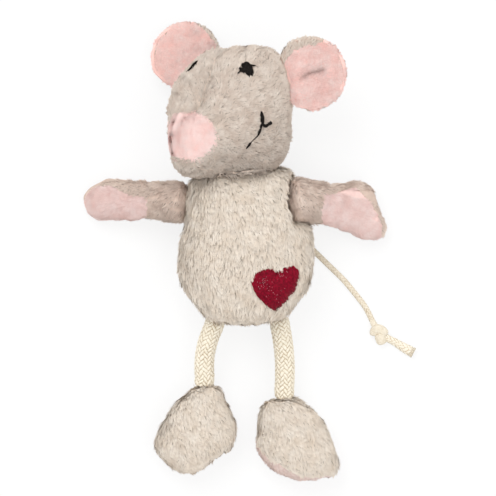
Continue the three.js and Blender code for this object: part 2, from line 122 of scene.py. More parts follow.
PLUSH = {
    "cream": ((0.86, 0.75, 0.63), (0.97, 0.89, 0.79)),
    "taupe": ((0.71, 0.59, 0.50), (0.91, 0.82, 0.73)),
    "brown": ((0.68, 0.53, 0.445), (0.93, 0.79, 0.69)),
    "pink": ((1.0, 0.65, 0.59), (1.0, 0.80, 0.75)),
    "blush": ((0.89, 0.64, 0.59), (0.96, 0.78, 0.74)),
    "nose": ((1.0, 0.71, 0.66), (1.0, 0.81, 0.77)),
    "sole": ((0.86, 0.67, 0.60), (0.95, 0.80, 0.74)),
}
ROPE = ((0.80, 0.73, 0.59), (0.90, 0.84, 0.72))
THREADS = {
    "thread_red": (((0.11, 0.001, 0.008), (0.30, 0.003, 0.022)), 900, 0.0001, 0.4, 0.1),
    # painted highlights on the heart's satin
    "thread_glint": (((0.6, 0.16, 0.2), (0.95, 0.6, 0.62)), 1500, 0.0001, 0.3),
    "thread_black": (((0.004, 0.003, 0.003), (0.02, 0.016, 0.014)), 900, 0.0001, 0.6, 0.06),
    "seam_thread": (ROPE, 1500, 0.0001, 0.8),
    "brown_thread": (((0.16, 0.09, 0.05), (0.30, 0.19, 0.12)), 1500, 0.0001, 0.8),
}
finishes = {name: material(name, *facts) for name, facts in THREADS.items()}
# the rope's darker colour is painted shade in its grooves, and also tints the knot tan
finishes["rope"] = material("rope", ROPE, 420, 0.0003, 0.85, shade_and_tint_colour=(0.42, 0.30, 0.17))
for key, (low, high) in PLUSH.items():
    # the pile's darkest colour is painted shade: strand roots, dark gaps, creases and seams turn towards it
    shaded, painted_shade_colour = tuple(0.88 * value for value in low), tuple(0.32 * value ** 1.4 for value in low)
    finishes[key + "_cloth"] = material(key + "_cloth", (shaded, low), 500, 0.0004, 0.95)
    finishes[key + "_pile"] = material(key + "_pile", (low, high), 170, 0.0002, 0.95, shade_and_tint_colour=painted_shade_colour)


# Vectors
def unit(vectors):
    return vectors / np.maximum(np.linalg.norm(vectors, axis=-1, keepdims=True), 1e-9)


def distance(points, centre):
    return np.linalg.norm(points - np.asarray(centre), axis=-1)


def bell(values, width):
    """One at nought, falling away on both sides."""
    return np.exp(-(values / width) ** 2)


def rising(values, width=1.0):
    """Nought below nought, and up to one over a width."""
    return np.clip(values / width, 0, 1)


def circle(sides):
    return TURN * np.arange(sides) / sides


def run_of(line):
    """How far along a line each of its points lies."""
    return np.concatenate([[0], np.cumsum(np.linalg.norm(np.diff(line, axis=0), axis=1))])


def ripple(points, size, seed):
    """Soft lumps of a size in millimetres, between about -1 and 1."""
    rng = np.random.default_rng(seed)
    total = np.zeros(points.shape[:-1])
    for _ in range(9):
        way = unit(rng.normal(size=3))
        total += np.sin(points @ way * (TURN / size) * rng.uniform(0.7, 1.4) + rng.uniform(0, TURN))
    return total / 3


def catmull(points, count):
    """A smooth line through points, evenly spaced."""
    knots = np.asarray(points, float)
    padded = np.vstack([2 * knots[0] - knots[1], knots, 2 * knots[-1] - knots[-2]])
    fine = []
    for i in range(len(knots) - 1):
        a, b, c, d = padded[i:i + 4]
        for t in np.linspace(0, 1, 24, endpoint=False):
            curve = (2 * a - 5 * b + 4 * c - d) * t * t + (3 * b - a - 3 * c + d) * t ** 3
            fine.append(0.5 * (2 * b + (c - a) * t + curve))
    fine = np.array(fine + [knots[-1]])
    run = run_of(fine)
    at = np.linspace(0, run[-1], count)
    return np.stack([np.interp(at, run, fine[:, k]) for k in range(3)], axis=1)


def on_table(points, low=0.0):
    """What would sink into the table, pressed flat there."""
    made = points.copy()
    made[..., 2] = np.maximum(made[..., 2], low)
    return made


# Meshes
def add_mesh(name, points, faces, finish, body, slot, tone=None, normals=None):
    """A piece from points in millimetres, on a body."""
    mesh = bpy.data.meshes.new(name)
    mesh.from_pydata((np.asarray(points) * MM).tolist(), [], faces)
    mesh.polygons.foreach_set("use_smooth", [True] * len(mesh.polygons))
    if tone is not None:
        mesh.attributes.new("tone", "FLOAT", "POINT").data.foreach_set("value", np.asarray(tone, dtype=np.float32))
    if normals is not None:
        mesh.normals_split_custom_set_from_vertices(np.asarray(normals).tolist())
    mesh.materials.append(finishes[finish])
    piece = linked(bpy.data.objects.new(name, mesh))
    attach(piece, body)
    return piece


def weld(piece):
    work = bmesh.new()
    work.from_mesh(piece.data)
    bmesh.ops.remove_doubles(work, verts=work.verts, dist=2e-5)
    bmesh.ops.dissolve_degenerate(work, edges=work.edges, dist=1e-6)
    bmesh.ops.recalc_face_normals(work, faces=work.faces)
    work.to_mesh(piece.data)
    work.free()


def quad(i, j, sides):
    n = (j + 1) % sides
    return [i * sides + j, i * sides + n, (i + 1) * sides + n, (i + 1) * sides + j]


def grid(rings, sides):
    return [quad(i, j, sides) for i in range(rings - 1) for j in range(sides)]


def closed(rings, sides):
    """The faces of a grid of rings with both ends closed."""
    return grid(rings, sides) + [list(range(sides))[::-1], list(range((rings - 1) * sides, rings * sides))]


def tube(points, radii, sides):
    """Points and faces of a tube along a line; radii is one number or one for each point."""
    line = np.asarray(points, float)
    ways = unit(np.gradient(line, axis=0))
    up = UPWARD if abs(ways[0][2]) < 0.9 else np.array([1.0, 0, 0])
    made = []
    for at, way, radius in zip(line, ways, np.broadcast_to(radii, len(line))):
        across = unit(np.cross(up, way))
        up = np.cross(way, across)
        made.extend(at + radius * (math.cos(angle) * across + math.sin(angle) * up) for angle in circle(sides))
    return made, closed(len(line), sides)


def gather(parts):
    """Several lists of points and faces as one."""
    points, faces = [], []
    for some_points, some_faces in parts:
        shift = len(points)
        points.extend(some_points)
        faces.extend([[v + shift for v in face] for face in some_faces])
    return points, faces


# Braided rope and cord
def braid(line, radius, strands, pitch, relief, sides, ends=0.0, flat=1.0):
    """A round braid of strands each way along a line, as points, faces and a tone that is low in the grooves, as
    painted shade there.
    """
    line = np.asarray(line, float)
    ways = unit(np.gradient(line, axis=0))
    across = unit(np.cross(ways, UPWARD))
    up = np.cross(across, ways)
    run = run_of(line)
    theta, length = np.meshgrid(circle(sides), run)
    slack = 0.12 * np.sin(3 * theta + 2.1 * length / pitch) + 0.1 * np.sin(2 * theta - 1.3 * length / pitch + 1)
    u = theta / TURN * strands + length / pitch + slack
    v = theta / TURN * strands - length / pitch + slack
    on_top = np.mod(np.floor(u) + np.floor(v), 4) < 2
    cross = np.where(on_top, np.mod(u, 1), np.mod(v, 1)) - 0.5
    profile = np.sqrt(np.clip(1 - (2 * cross) ** 2, 0, 1))
    span = np.where(on_top, np.mod(v + np.floor(u), 4), np.mod(u + np.floor(v) - 2, 4))
    height = profile * (0.5 + 0.5 * rising(np.sin(rising(span, 2) * math.pi)) ** 0.5)
    strand = np.where(on_top, np.floor(u), np.floor(v) + 0.5)
    # the tone is painted shade, low in the grooves, with a little difference from strand to strand
    tone = rising(-0.1 + 1.5 * height + 0.12 * np.sin(7.3 * strand))
    out = np.broadcast_to(radius, len(line))[:, None] + relief * (height - 0.75)
    if ends:
        cap = rising(np.minimum(run, run[-1] - run), ends)
        out = out * (rising(1 - (1 - cap) ** 3) ** (1 / 3))[:, None]
    points = line[:, None] + out[..., None] * (np.cos(theta)[..., None] * across[:, None]
                                               + flat * np.sin(theta)[..., None] * up[:, None])
    return points.reshape(-1, 3), [face[::-1] for face in closed(len(line), sides)], tone.reshape(-1)


# The middle of the cord from the back to the knot, in metres
TAIL_ROUTE = [
    (0.0167, 0.0069, 0.0015), (0.021, 0.0063, 0.0015), (0.025, 0.0051, 0.0015), (0.0293, 0.003, 0.0015),
    (0.034, -0.0006, 0.0015), (0.0412, -0.0076, 0.0015), (0.0488, -0.015, 0.0015), (0.055, -0.0224, 0.0015),
    (0.06, -0.029, 0.0015), (0.0636, -0.036, 0.0015),
]
# The knot's band, the loop under it and the stem into it: points, count, radius and flatness
TAIL_KNOT = [
    ([(64.9, -43.4, 2.0), (64.9, -41.4, 2.6), (66.4, -40.3, 3.3), (68.5, -41.3, 3.0), (69.9, -43.4, 2.1)],
     90, 2.7, 0.8),
    ([(66.8, -42.6, 2.5), (67.5, -44.4, 2.9), (68.2, -46.2, 2.7), (68.7, -47.6, 2.2)], 50, 2.7, 0.95),
    ([(63.3, -35.4, 1.5), (64.6, -38.0, 2.0), (67.2, -41.2, 2.3), (70.4, -44.2, 2.0)], 40, 1.6, 1.0),
]
TAIL_STUB = [(69.6, -43.6, 1.9), (72.2, -45.3, 1.9), (75.4, -46.9, 2.0), (79.0, -49.2, 2.2), (83.2, -51.5, 2.4)]
FRAY = 2.3


def make_tail():
    """The tail cord with its overhand knot and frayed end."""
    def braided(line, low=0.0, high=1.0, **shape):
        points, faces, tone = braid(line, **shape)
        return on_table(points), faces, low + high * tone

    def cotton(name, parts, node):
        points, faces = gather([part[:2] for part in parts])
        tone = np.concatenate([part[2] for part in parts])
        piece = add_mesh(name, points, faces, "rope", "tail", "cotton_cord", tone=tone)
        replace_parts(piece, node)
        return piece

    route = catmull(np.array(TAIL_ROUTE) / MM, 30)
    fine = catmull(np.array(TAIL_ROUTE) / MM, 200)
    thin = {"radius": 1.45, "strands": 6, "pitch": 2.0, "relief": 0.16, "sides": 24}
    thick = {"strands": 8, "pitch": 2.4, "sides": 64}
    line = cotton("tail_line", [braided(fine, high=0.86, **thin)], "tail_cord")
    knot = cotton("tail_knot_turns", [
        braided(catmull(points, count), radius=radius, relief=0.05, low=0.66, high=0.18, ends=2.4, flat=flat, **thick)
        for points, count, radius, flat in TAIL_KNOT], "tail_knot")
    stub = catmull(TAIL_STUB, 90)
    wide = np.interp(np.linspace(0, 1, 90), (0, 0.3, 0.7, 1), (1.8, 1.85, 2.3, 2.7))
    parts = [braided(stub, radius=wide, relief=0.3, ends=1.2, flat=0.85, **thick)]
    rng = np.random.default_rng(5)
    away = unit(stub[-1] - stub[-4])
    beside = np.array([-away[1], away[0], 0])
    for _ in range(150):
        out, turn = FRAY * math.sqrt(rng.random()), rng.uniform(0, TURN)
        root = stub[-3] + beside * out * math.cos(turn) + UPWARD * 0.85 * out * math.sin(turn)
        lean = beside * math.cos(turn) * 0.22 * out / FRAY
        strand = np.array([root + (away + lean) * step for step in np.linspace(0, rng.uniform(1.0, 1.9), 3)])
        points, faces = tube(on_table(strand, 0.15), 0.2, 4)
        parts.append((points, faces, np.full(len(points), rng.uniform(0.6, 1.0))))
    end = cotton("tail_fray", parts, "tail_end")


make_tail()


# Stuffed forms
def place_at(origin, axis, up=(0, 0, 1)):
    """An origin with directions along, up and to the side."""
    along = unit(np.array(axis, float))
    up = unit(np.array(up, float) - along * along.dot(up))
    return {"origin": np.array(origin, float), "along": along, "up": up, "side": np.cross(up, along)}


def rows_of(shares, length, width, depth, squareness):
    """Rings in millimetres from shares: along, width, depth, lean, lift, squareness."""
    rows = []
    for row in shares:
        along, wide, deep, lean, lift, square = list(row) + [0, 0, squareness][len(row) - 3:]
        rows.append((along * length, wide * width / 2, deep * depth / 2, lean * width, lift * depth, square))
    return rows


def dome(centre, radius, depth_share, from_pole, lean=0.0):
    """The rings of half a ball, from its pole or up to it."""
    rows = []
    for share in (0, 0.24, 0.6, 1):
        angle = share * math.pi / 2
        along = centre + (-radius if from_pole else radius) * math.cos(angle)
        rows.append((along, radius * math.sin(angle), radius * math.sin(angle) * depth_share, lean, 0, 2))
    return rows if from_pole else rows[::-1]


def smooth_rows(rows, count):
    """Evenly spaced rings on a smooth curve through the given ones, closed at both poles."""
    rows = np.array(rows, float)
    flip = np.array([1, -1, -1, 1, 1, 1])
    full = np.vstack([rows[1] * flip, rows, rows[-2] * flip])
    step = np.hypot(np.diff(full[:, 0]), np.diff((full[:, 1] + full[:, 2]) / 2)).clip(1e-6)
    knots = np.concatenate([[0], np.cumsum(step)])
    slopes = (full[2:] - full[:-2]) / (knots[2:] - knots[:-2])[:, None]
    knots = knots[1:-1]
    at = np.linspace(knots[0], knots[-1], count)
    k = np.clip(np.searchsorted(knots, at, side="right") - 1, 0, len(knots) - 2)
    gap = (knots[k + 1] - knots[k])[:, None]
    s = ((at - knots[k])[:, None]) / gap
    made = ((2 * s ** 3 - 3 * s ** 2 + 1) * rows[k] + (s ** 3 - 2 * s ** 2 + s) * gap * slopes[k]
            + (-2 * s ** 3 + 3 * s ** 2) * rows[k + 1] + (s ** 3 - s ** 2) * gap * slopes[k + 1])
    made[0, 1:3] = made[-1, 1:3] = 0
    made[:, 1:3] = made[:, 1:3].clip(0)
    return made


class Form:
    """A closed form as a grid of rings and sides, in millimetres."""

    def __init__(self, points):
        self.set(points)

    def set(self, points):
        normals = unit(np.cross(np.roll(points, -1, axis=1) - np.roll(points, 1, axis=1), np.gradient(points, axis=0)))
        middles = points.mean(axis=1, keepdims=True)
        if ((points - middles) * normals)[2:-2].sum() < 0:
            normals = -normals
        for end, beside in ((0, 1), (-1, -2)):
            normals[end] = unit(normals[beside].mean(axis=0))
        self.points, self.normals = points, normals

    def swell(self, amount, size, seed):
        self.set(self.points + self.normals * (amount * ripple(self.points, size, seed))[..., None])

    def shrink(self, amount):
        self.set(self.points - self.normals * amount)

    def change(self, *functions):
        for function in functions:
            self.set(function(self.points))

    def tree(self):
        return BVHTree.FromPolygons(self.points.reshape(-1, 3).tolist(), grid(*self.points.shape[:2]))

    def middles(self):
        return (self.points[:-1] + self.points[1:]) / 2

    def beyond(self, point, way):
        """The quads whose middle lies on the way's side of a point."""
        ring = (self.points + np.roll(self.points, -1, axis=1)) / 2
        return ((ring[:-1] + ring[1:]) / 2 - np.array(point)) @ np.array(way, float) > 0

    def whole(self, reach=7.0):
        """The quads that aren't stretched between the two sides of an opening, which is left open."""
        ring = np.linalg.norm(self.points[1:] - self.points[:-1], axis=-1)
        side = np.linalg.norm(np.roll(self.points, -1, axis=1) - self.points, axis=-1)
        return (np.maximum(ring, np.roll(ring, -1, axis=1)) <= reach) & (np.maximum(side[1:], side[:-1]) <= reach)


def loft(rows, place, sides, rings):
    """A form from rows, with superelliptic rings."""
    made = smooth_rows(rows, rings)
    cos, sin = np.cos(circle(sides)), np.sin(circle(sides))
    power = 2 / made[:, 5][:, None]
    wide = made[:, 3][:, None] + np.sign(cos) * np.abs(cos)[None] ** power * made[:, 1][:, None]
    high = made[:, 4][:, None] + np.sign(sin) * np.abs(sin)[None] ** power * made[:, 2][:, None]
    return Form(place["origin"] + made[:, 0][:, None, None] * place["along"]
                + wide[..., None] * place["side"] + high[..., None] * place["up"])


def reshape(form, centre, outline):
    """Stretches a form sideways until its outline from above is the given one."""
    goal = np.array(outline, float) - centre
    turns = np.mod(np.arctan2(goal[:, 1], goal[:, 0]), TURN)
    order = np.argsort(turns)
    wanted = np.arange(0, 360, 3) * math.pi / 180
    goal_reach = np.interp(wanted, turns[order], np.linalg.norm(goal, axis=1)[order], period=TURN)
    away = form.points[..., :2] - centre
    reach = np.linalg.norm(away, axis=-1)
    angle = np.mod(np.arctan2(away[..., 1], away[..., 0]), TURN)
    here = np.array([reach[np.cos(angle - turn) > math.cos(math.radians(2.2))].max() for turn in wanted])
    ratio = goal_reach / here
    for _ in range(2):
        ratio = (np.roll(ratio, 1) + 2 * ratio + np.roll(ratio, -1)) / 4
    points = form.points.copy()
    points[..., :2] = centre + away * np.interp(angle, wanted, ratio, period=TURN)[..., None]
    form.set(points)


def socket(centre, radius, shares=(1, 1, 1)):
    """Pushes what lies inside a ball, squeezed by a share each way, out to its surface."""
    def push(points):
        away = points - np.array(centre)
        far = np.linalg.norm(away / shares, axis=-1, keepdims=True)
        return np.where(far < radius, np.array(centre) + away / np.maximum(far, 1e-6) * radius, points)
    return push


def over(centre, radius, shares=(1, 1, 1), both=True):
    """Lifts what lies inside a squeezed ball straight up onto it, and drops what is under its middle down below."""
    def push(points):
        away = (points - np.array(centre)) / shares
        hit = (np.linalg.norm(away, axis=-1) < radius) & (both | (away[..., 2] > 0))
        rise = np.sqrt(np.clip(radius ** 2 - away[..., 0] ** 2 - away[..., 1] ** 2, 0, None)) * shares[2]
        made = points.copy()
        made[..., 2] = np.where(hit, centre[2] + np.where(away[..., 2] < 0, -rise, rise), points[..., 2])
        return made
    return push


def inside(outline, points):
    """Whether points lie inside an outline seen from above."""
    corners = np.array(outline, float)
    x, y = points[..., 0], points[..., 1]
    found = np.zeros(x.shape, bool)
    for (ax, ay), (bx, by) in zip(corners, np.roll(corners, -1, axis=0)):
        crossing = (ay > y) != (by > y)
        height = np.where(by == ay, 1.0, by - ay)
        found ^= crossing & (x < (bx - ax) * (y - ay) / height + ax)
    return found


# Plush
def slot_of(colour):
    return {"cream": "cream", "taupe": "taupe", "brown": "taupe"}.get(colour, "pink") + "_plush"


def cloth(name, form, mask, colour, body, nodes, thickness=1.2):
    """The quads of a form that the mask names, as cloth with a thickness, in the place of the frame's nodes."""
    rings, sides = form.points.shape[:2]
    chosen = [quad(i, j, sides) for i in range(rings - 1) for j in range(sides) if mask[i, j]]
    used = sorted({v for face in chosen for v in face})
    where = {v: k for k, v in enumerate(used)}
    points = form.points.reshape(-1, 3)[used]
    faces = [[where[v] for v in face] for face in chosen]
    directed = {(a, b) for face in faces for a, b in zip(face, face[1:] + face[:1])}
    rim = sorted((a, b) for a, b in directed if (b, a) not in directed)
    count = len(points)
    if rim:
        inner = [[count + v for v in reversed(face)] for face in faces]
        faces = faces + inner + [[b, a, count + a, count + b] for a, b in rim]
        points = np.vstack([points, points - form.normals.reshape(-1, 3)[used] * thickness])
    piece = add_mesh(name + "_cloth", points, faces, colour + "_cloth", body, slot_of(colour))
    weld(piece)
    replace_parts(piece, *nodes)


def is_inside(tree, point, margin):
    at, normal, _, _ = tree.find_nearest(point)
    return (point - at).dot(normal) < margin


# A strand in millimetres: how deep its root sits, the lowest root and tip over the table, and as shares the width
# beside its middle and the bulge there
ROOT_DEPTH, LOWEST_ROOT, LOWEST_TIP = 0.3, 0.6, 0.1
MIDDLE_WIDTH, BULGE = 0.42, 0.10


def even(points):
    return np.ones(len(points))


def nowhere(points):
    return np.zeros(len(points), bool)


def pile(name, form, mask, colour, body, count, length, comb, seed, lift=25, width=0.42, clump=14, pull=0.55,
         avoid=(), spread=16, bare=nowhere, shade_at=even, longer=even, grain=(1, 1, 1), contrast=0.35, gaps=0.05):
    """Strands of plush on the quads that the mask names, combed along the comb's direction at each point. They lift by
    an angle and spread by another. One strand in a clump leads a tuft, and the pull leans the others to the tip of the
    nearest such one. None grows inside what it avoids or where it is bare. A share of strands is dark, as painted shade
    in the gaps between tufts, and the rest varies in tone by the contrast, darker at the root as painted shade in the
    pile."""
    rng = np.random.default_rng(seed)
    i, j = np.nonzero(mask)
    n = (j + 1) % form.points.shape[1]

    def corners(values):
        return values[i, j], values[i, n], values[i + 1, n], values[i + 1, j]
    a, b, c, d = corners(form.points)
    area = np.linalg.norm(np.cross(c - a, d - b), axis=1)
    pick = rng.choice(len(i), size=count, p=area / area.sum())
    s, t = rng.random((count, 1)), rng.random((count, 1))

    def between(values):
        a, b, c, d = (corner[pick] for corner in corners(values))
        return (1 - s) * (1 - t) * a + s * (1 - t) * b + s * t * c + (1 - s) * t * d
    roots, normals = between(form.points), unit(between(form.normals))
    keep = (roots[:, 2] > LOWEST_ROOT) & ~bare(roots)
    for tree, margin in avoid:
        keep &= np.array([not is_inside(tree, Vector(root), margin) for root in roots])
    roots, normals = roots[keep], normals[keep]
    count = len(roots)
    flow = comb(roots)
    flow = unit(flow - normals * (flow * normals).sum(axis=1)[:, None])
    swirl = np.radians(spread) * (0.9 * ripple(roots, 9, seed + 1) + 0.5 * rng.normal(size=count))[:, None]
    way = flow * np.cos(swirl) + np.cross(normals, flow) * np.sin(swirl)
    rise = np.radians(lift + 9 * rng.normal(size=count))[:, None]
    reach = length * (0.75 + 0.4 * rng.random((count, 1))) * (1 + 0.15 * ripple(roots, 6, seed + 2))[:, None]
    reach = reach * longer(roots)[:, None]
    tips = roots + reach * (way * np.cos(rise) + normals * np.sin(rise))
    heads = rng.choice(count, size=max(count // clump, 1), replace=False)
    search = kdtree.KDTree(len(heads))
    for k, head in enumerate(heads):
        search.insert(tips[head] * grain, k)
    search.balance()
    nearest = np.array([search.find(tip)[1] for tip in tips * grain])
    hold = pull * (0.6 + 0.8 * rng.random((count, 1)))
    tips = on_table(tips + hold * (tips[heads][nearest] - tips), LOWEST_TIP)
    # each strand is a flat blade that shows its outside, and is lit as the cloth under it is, turned to the light
    lit = 0.9 * rising(normals[:, 2:] + 0.3, 1.3)
    shown = unit(normals + 0.25 * way + lit * UPWARD)
    low = roots - normals * ROOT_DEPTH
    across = np.cross(normals, way)
    turned = (np.cross(tips - low, across) * shown).sum(axis=1) < 0
    across = np.where(turned[:, None], -across, across)
    wide = width * (0.7 + 0.6 * rng.random((count, 1)))
    middles = (low + tips) / 2 + normals * (BULGE * reach)
    points = np.stack([low - across * wide / 2, low + across * wide / 2, middles - across * wide * MIDDLE_WIDTH,
                       middles + across * wide * MIDDLE_WIDTH, tips], axis=1).reshape(-1, 3)
    base = 5 * np.arange(count)[:, None]
    faces = (base + np.array([1, 0, 2, 3])).tolist() + (base + np.array([3, 2, 4])).tolist()
    shade = rng.random(len(heads))[nearest] * 0.6 + rng.random(count) * 0.4
    # each strand runs from a low tone at its root to a high one at its tip: painted shade deep in the pile; clumps and
    # strands also differ at random
    low_tone, high_tone = 0.92 - 0.6 * contrast + 0.1 * shade, 0.98 - 0.3 * contrast * (1 - shade)
    # painted light: where the surface is steep, at the sides, strand roots are lighter and fewer strands are dark
    painted_rim_light = 1 - np.abs(normals[:, 2])
    low_tone = low_tone + 0.5 * (0.95 - low_tone) * painted_rim_light
    # the dark strands are painted shade in the gaps between tufts
    gap = rng.random(count) < (gaps(roots) if callable(gaps) else gaps) * (1 - painted_rim_light)
    low_tone = np.where(gap, 0.1, low_tone) * shade_at(roots)
    high_tone = np.where(gap, 0.3, high_tone) * shade_at(roots)
    middle_tone = (low_tone + high_tone) / 2
    tone = np.stack([low_tone, low_tone, middle_tone, middle_tone, high_tone], axis=1).reshape(-1)
    add_mesh(name + "_pile", points, faces, colour + "_pile", body, slot_of(colour), tone, np.repeat(shown, 5, axis=0))


def panel(name, form, mask, colour, body, nodes, stuffed, count, length, comb, seed, **hair):
    """Stuffed cloth with its pile."""
    cloth(name, form, mask, colour, body, nodes)
    pile(name, form, mask, colour, body, count, length, comb, seed, **hair)


def combed(direction):
    def comb(points):
        return np.broadcast_to(np.array(direction, float), points.shape).copy()
    return comb


# Places of the joints
joints = {joint["name"]: joint for joint in frame["record"]["behaviour"]["joints"]}


def pivot(name):
    return np.array(joints[name]["pos_m"]) / MM


shoulders = {side: pivot(side + "_arm_lift") for side in SIGNS}
hips = {side: pivot(side + "_leg_lift") for side in SIGNS}
ankles = {side: pivot(side + "_foot_flex") for side in SIGNS}
NECK = (-3.8, 22, 25)
NECK_SHARES = (1, 0.8, 0.9)
NECK_BALL = 28.2
LIMB_BALL = 10.8
ROPE_BALL = 4.8

# The body's form
BODY_SHARES = [
    [0, 0, 0, -0.02, -0.03], [0.014, 0.37, 0.35, -0.015, -0.02], [0.072, 0.62, 0.59, 0, 0],
    [0.17, 0.79, 0.77, 0.01, 0], [0.34, 0.95, 0.93, 0.01, 0], [0.55, 1.01, 1, 0.007, 0],
    [0.82, 0.97, 0.97, 0.015, 0],
]
BODY_OUTLINE = [
    (-29.7, 35.1), (-30.1, 25.1), (-31.1, 17.6), (-32.0, 11.5), (-33.5, 7.0), (-34.3, -0.8), (-34.5, -6.0),
    (-34.3, -12.5),
    (-32.5, -19.8), (-29.4, -24.4), (-25.3, -28.5), (-21.7, -33.1), (-17.6, -35.6), (-12.0, -36.7), (-2.8, -37.2),
    (7.4, -37.7), (12.0, -36.7), (20.8, -32.6), (25.9, -26.9), (30.0, -21.8), (32.5, -15.2), (33.6, -8.5), (33.8, -0.8),
    (33.3, 4.8), (32.8, 13.0), (32.1, 19.1), (31.1, 25.1), (28.1, 31.1), (25.3, 36.0), (23.0, 39.5), (19.5, 42.3),
    (14.0, 43.6), (7.0, 44.4), (-0.5, 44.6), (-8.0, 44.5), (-15.5, 43.4), (-22.0, 40.6), (-26.5, 38.2),
]
BODY_LENGTH, BODY_WIDTH, BODY_DEPTH = 58.3, 65, 48
BODY_BASE = (0, -36.3, 23.5)


def crease(points):
    """The body's front stepping down in a line to the left arm."""
    x, y, z = points[..., 0], points[..., 1], points[..., 2]
    line = 19.2 + 0.03 * np.clip(24 - y, 0, None) ** 2
    made = points.copy()
    made[..., 0] = np.where(z > 22, x - np.clip(x - line, 0, None) * rising(y - 12.6, 1.6) * rising(38.5 - y, 6), x)
    return made


trees = {}
body_rows = rows_of(BODY_SHARES, BODY_LENGTH, BODY_WIDTH, BODY_DEPTH, 2.15)
body_rows += dome(BODY_LENGTH, NECK_BALL, 0.82, False, lean=3.8)
body_form = loft(body_rows, place_at(BODY_BASE, (0, 1, 0)), sides=128, rings=130)
reshape(body_form, (0, 4), BODY_OUTLINE)
body_form.swell(0.55, 26, 11)
body_form.swell(0.22, 8, 12)
body_form.shrink(1.1)
body_form.change(on_table, over(shoulders["right"], LIMB_BALL + 0.9, (1, 1, 1.35)), crease,
                 socket(shoulders["left"], LIMB_BALL + 0.5), *(over(hips[side], ROPE_BALL + 0.8) for side in SIGNS))
trees["body"] = body_form.tree()

# The head's form
HEAD_SHARES = [
    [0, 0, 0], [0.03, 0.44, 0.42], [0.12, 0.77, 0.77], [0.32, 1, 1],
    [0.46, 0.98, 0.97, 0, 0, 2.5], [0.59, 0.86, 0.83, 0, 0, 2.15], [0.72, 0.69, 0.62, 0, 0, 2],
    [0.82, 0.54, 0.46, 0, 0, 2], [0.92, 0.385, 0.31, 0, 0, 2], [0.975, 0.24, 0.19, 0, 0, 2], [1, 0, 0],
]
HEAD_OUTLINE = [
    (15.0, 99.1), (18.0, 95.1), (20.8, 90.1), (23.0, 80.1), (22.8, 72.1), (21.8, 66.6), (22.0, 60.1), (21.5, 50.5),
    (18.9, 44.2), (14.9, 41.0), (7.9, 38.2), (0.5, 37.0), (-10.9, 36.0), (-21.0, 35.6), (-30.5, 37.0), (-35.0, 41.9),
    (-38.5, 50.5), (-39.5, 60.7), (-39.2, 70.7), (-38.1, 77.4), (-36.5, 84.1), (-32.5, 89.6), (-27.5, 95.1),
    (-21.7, 99.1),
    (-16.4, 101.6), (-11.0, 101.8), (-1.7, 102.1), (7.1, 101.9), (11.8, 100.8),
]
HEAD_LENGTH, HEAD_WIDTH, HEAD_DEPTH = 67, 60.5, 73
NOSE_LENGTH = 9.5
SEAM_ASIDE = 3.5
nose_tip = np.array([-31.5, 53, 62])
snout = unit(np.array([-0.54, -0.29, 0.79]))
skull = nose_tip - snout * HEAD_LENGTH
head_place = place_at(skull, snout, (0, 1, 0))


def seam_distance(points):
    """How far points lie from the seam over the forehead, and on which side."""
    return (points - skull) @ head_place["side"] - SEAM_ASIDE


def seam_groove(points):
    above = rising((points - skull) @ head_place["up"], 6)
    before_nose = rising(HEAD_LENGTH - NOSE_LENGTH - (points - skull) @ snout, 4)
    return points - (0.8 * bell(seam_distance(points), 1.3) * above * before_nose)[..., None] * head_form.normals


def chin(points):
    """The front of the face coming further down over the neck."""
    made = points.copy()
    y, z = points[..., 1], points[..., 2]
    made[..., 1] = y - 3.8 * rising(z - 31, 12) * rising(57 - y, 15)
    return made


def rounded(points):
    """The nose's far side smoothed, where the outline stretched it."""
    near = bell(distance(points, (-40, 55, 50)), 11)[..., None]
    made = points.copy()
    for _ in range(14):
        along = made.copy()
        along[1:-1] = (made[2:] + made[:-2]) / 2
        around = (np.roll(made, 1, axis=1) + np.roll(made, -1, axis=1)) / 2
        made += 0.7 * near * ((along + around) / 2 - made)
    return made


head_rows = rows_of(HEAD_SHARES, HEAD_LENGTH, HEAD_WIDTH, HEAD_DEPTH, 2.8)
head_form = loft(head_rows, head_place, sides=128, rings=130)
reshape(head_form, (-8.5, 69), HEAD_OUTLINE)
trees["head"] = head_form.tree()
head_form.swell(0.5, 24, 21)
head_form.swell(0.2, 7, 22)
head_form.shrink(0.9)
head_form.change(seam_groove, on_table, chin, rounded, over(NECK, NECK_BALL + 0.9, NECK_SHARES, both=False),
                 socket(NECK, NECK_BALL + 0.9, NECK_SHARES))
head_tree = head_form.tree()

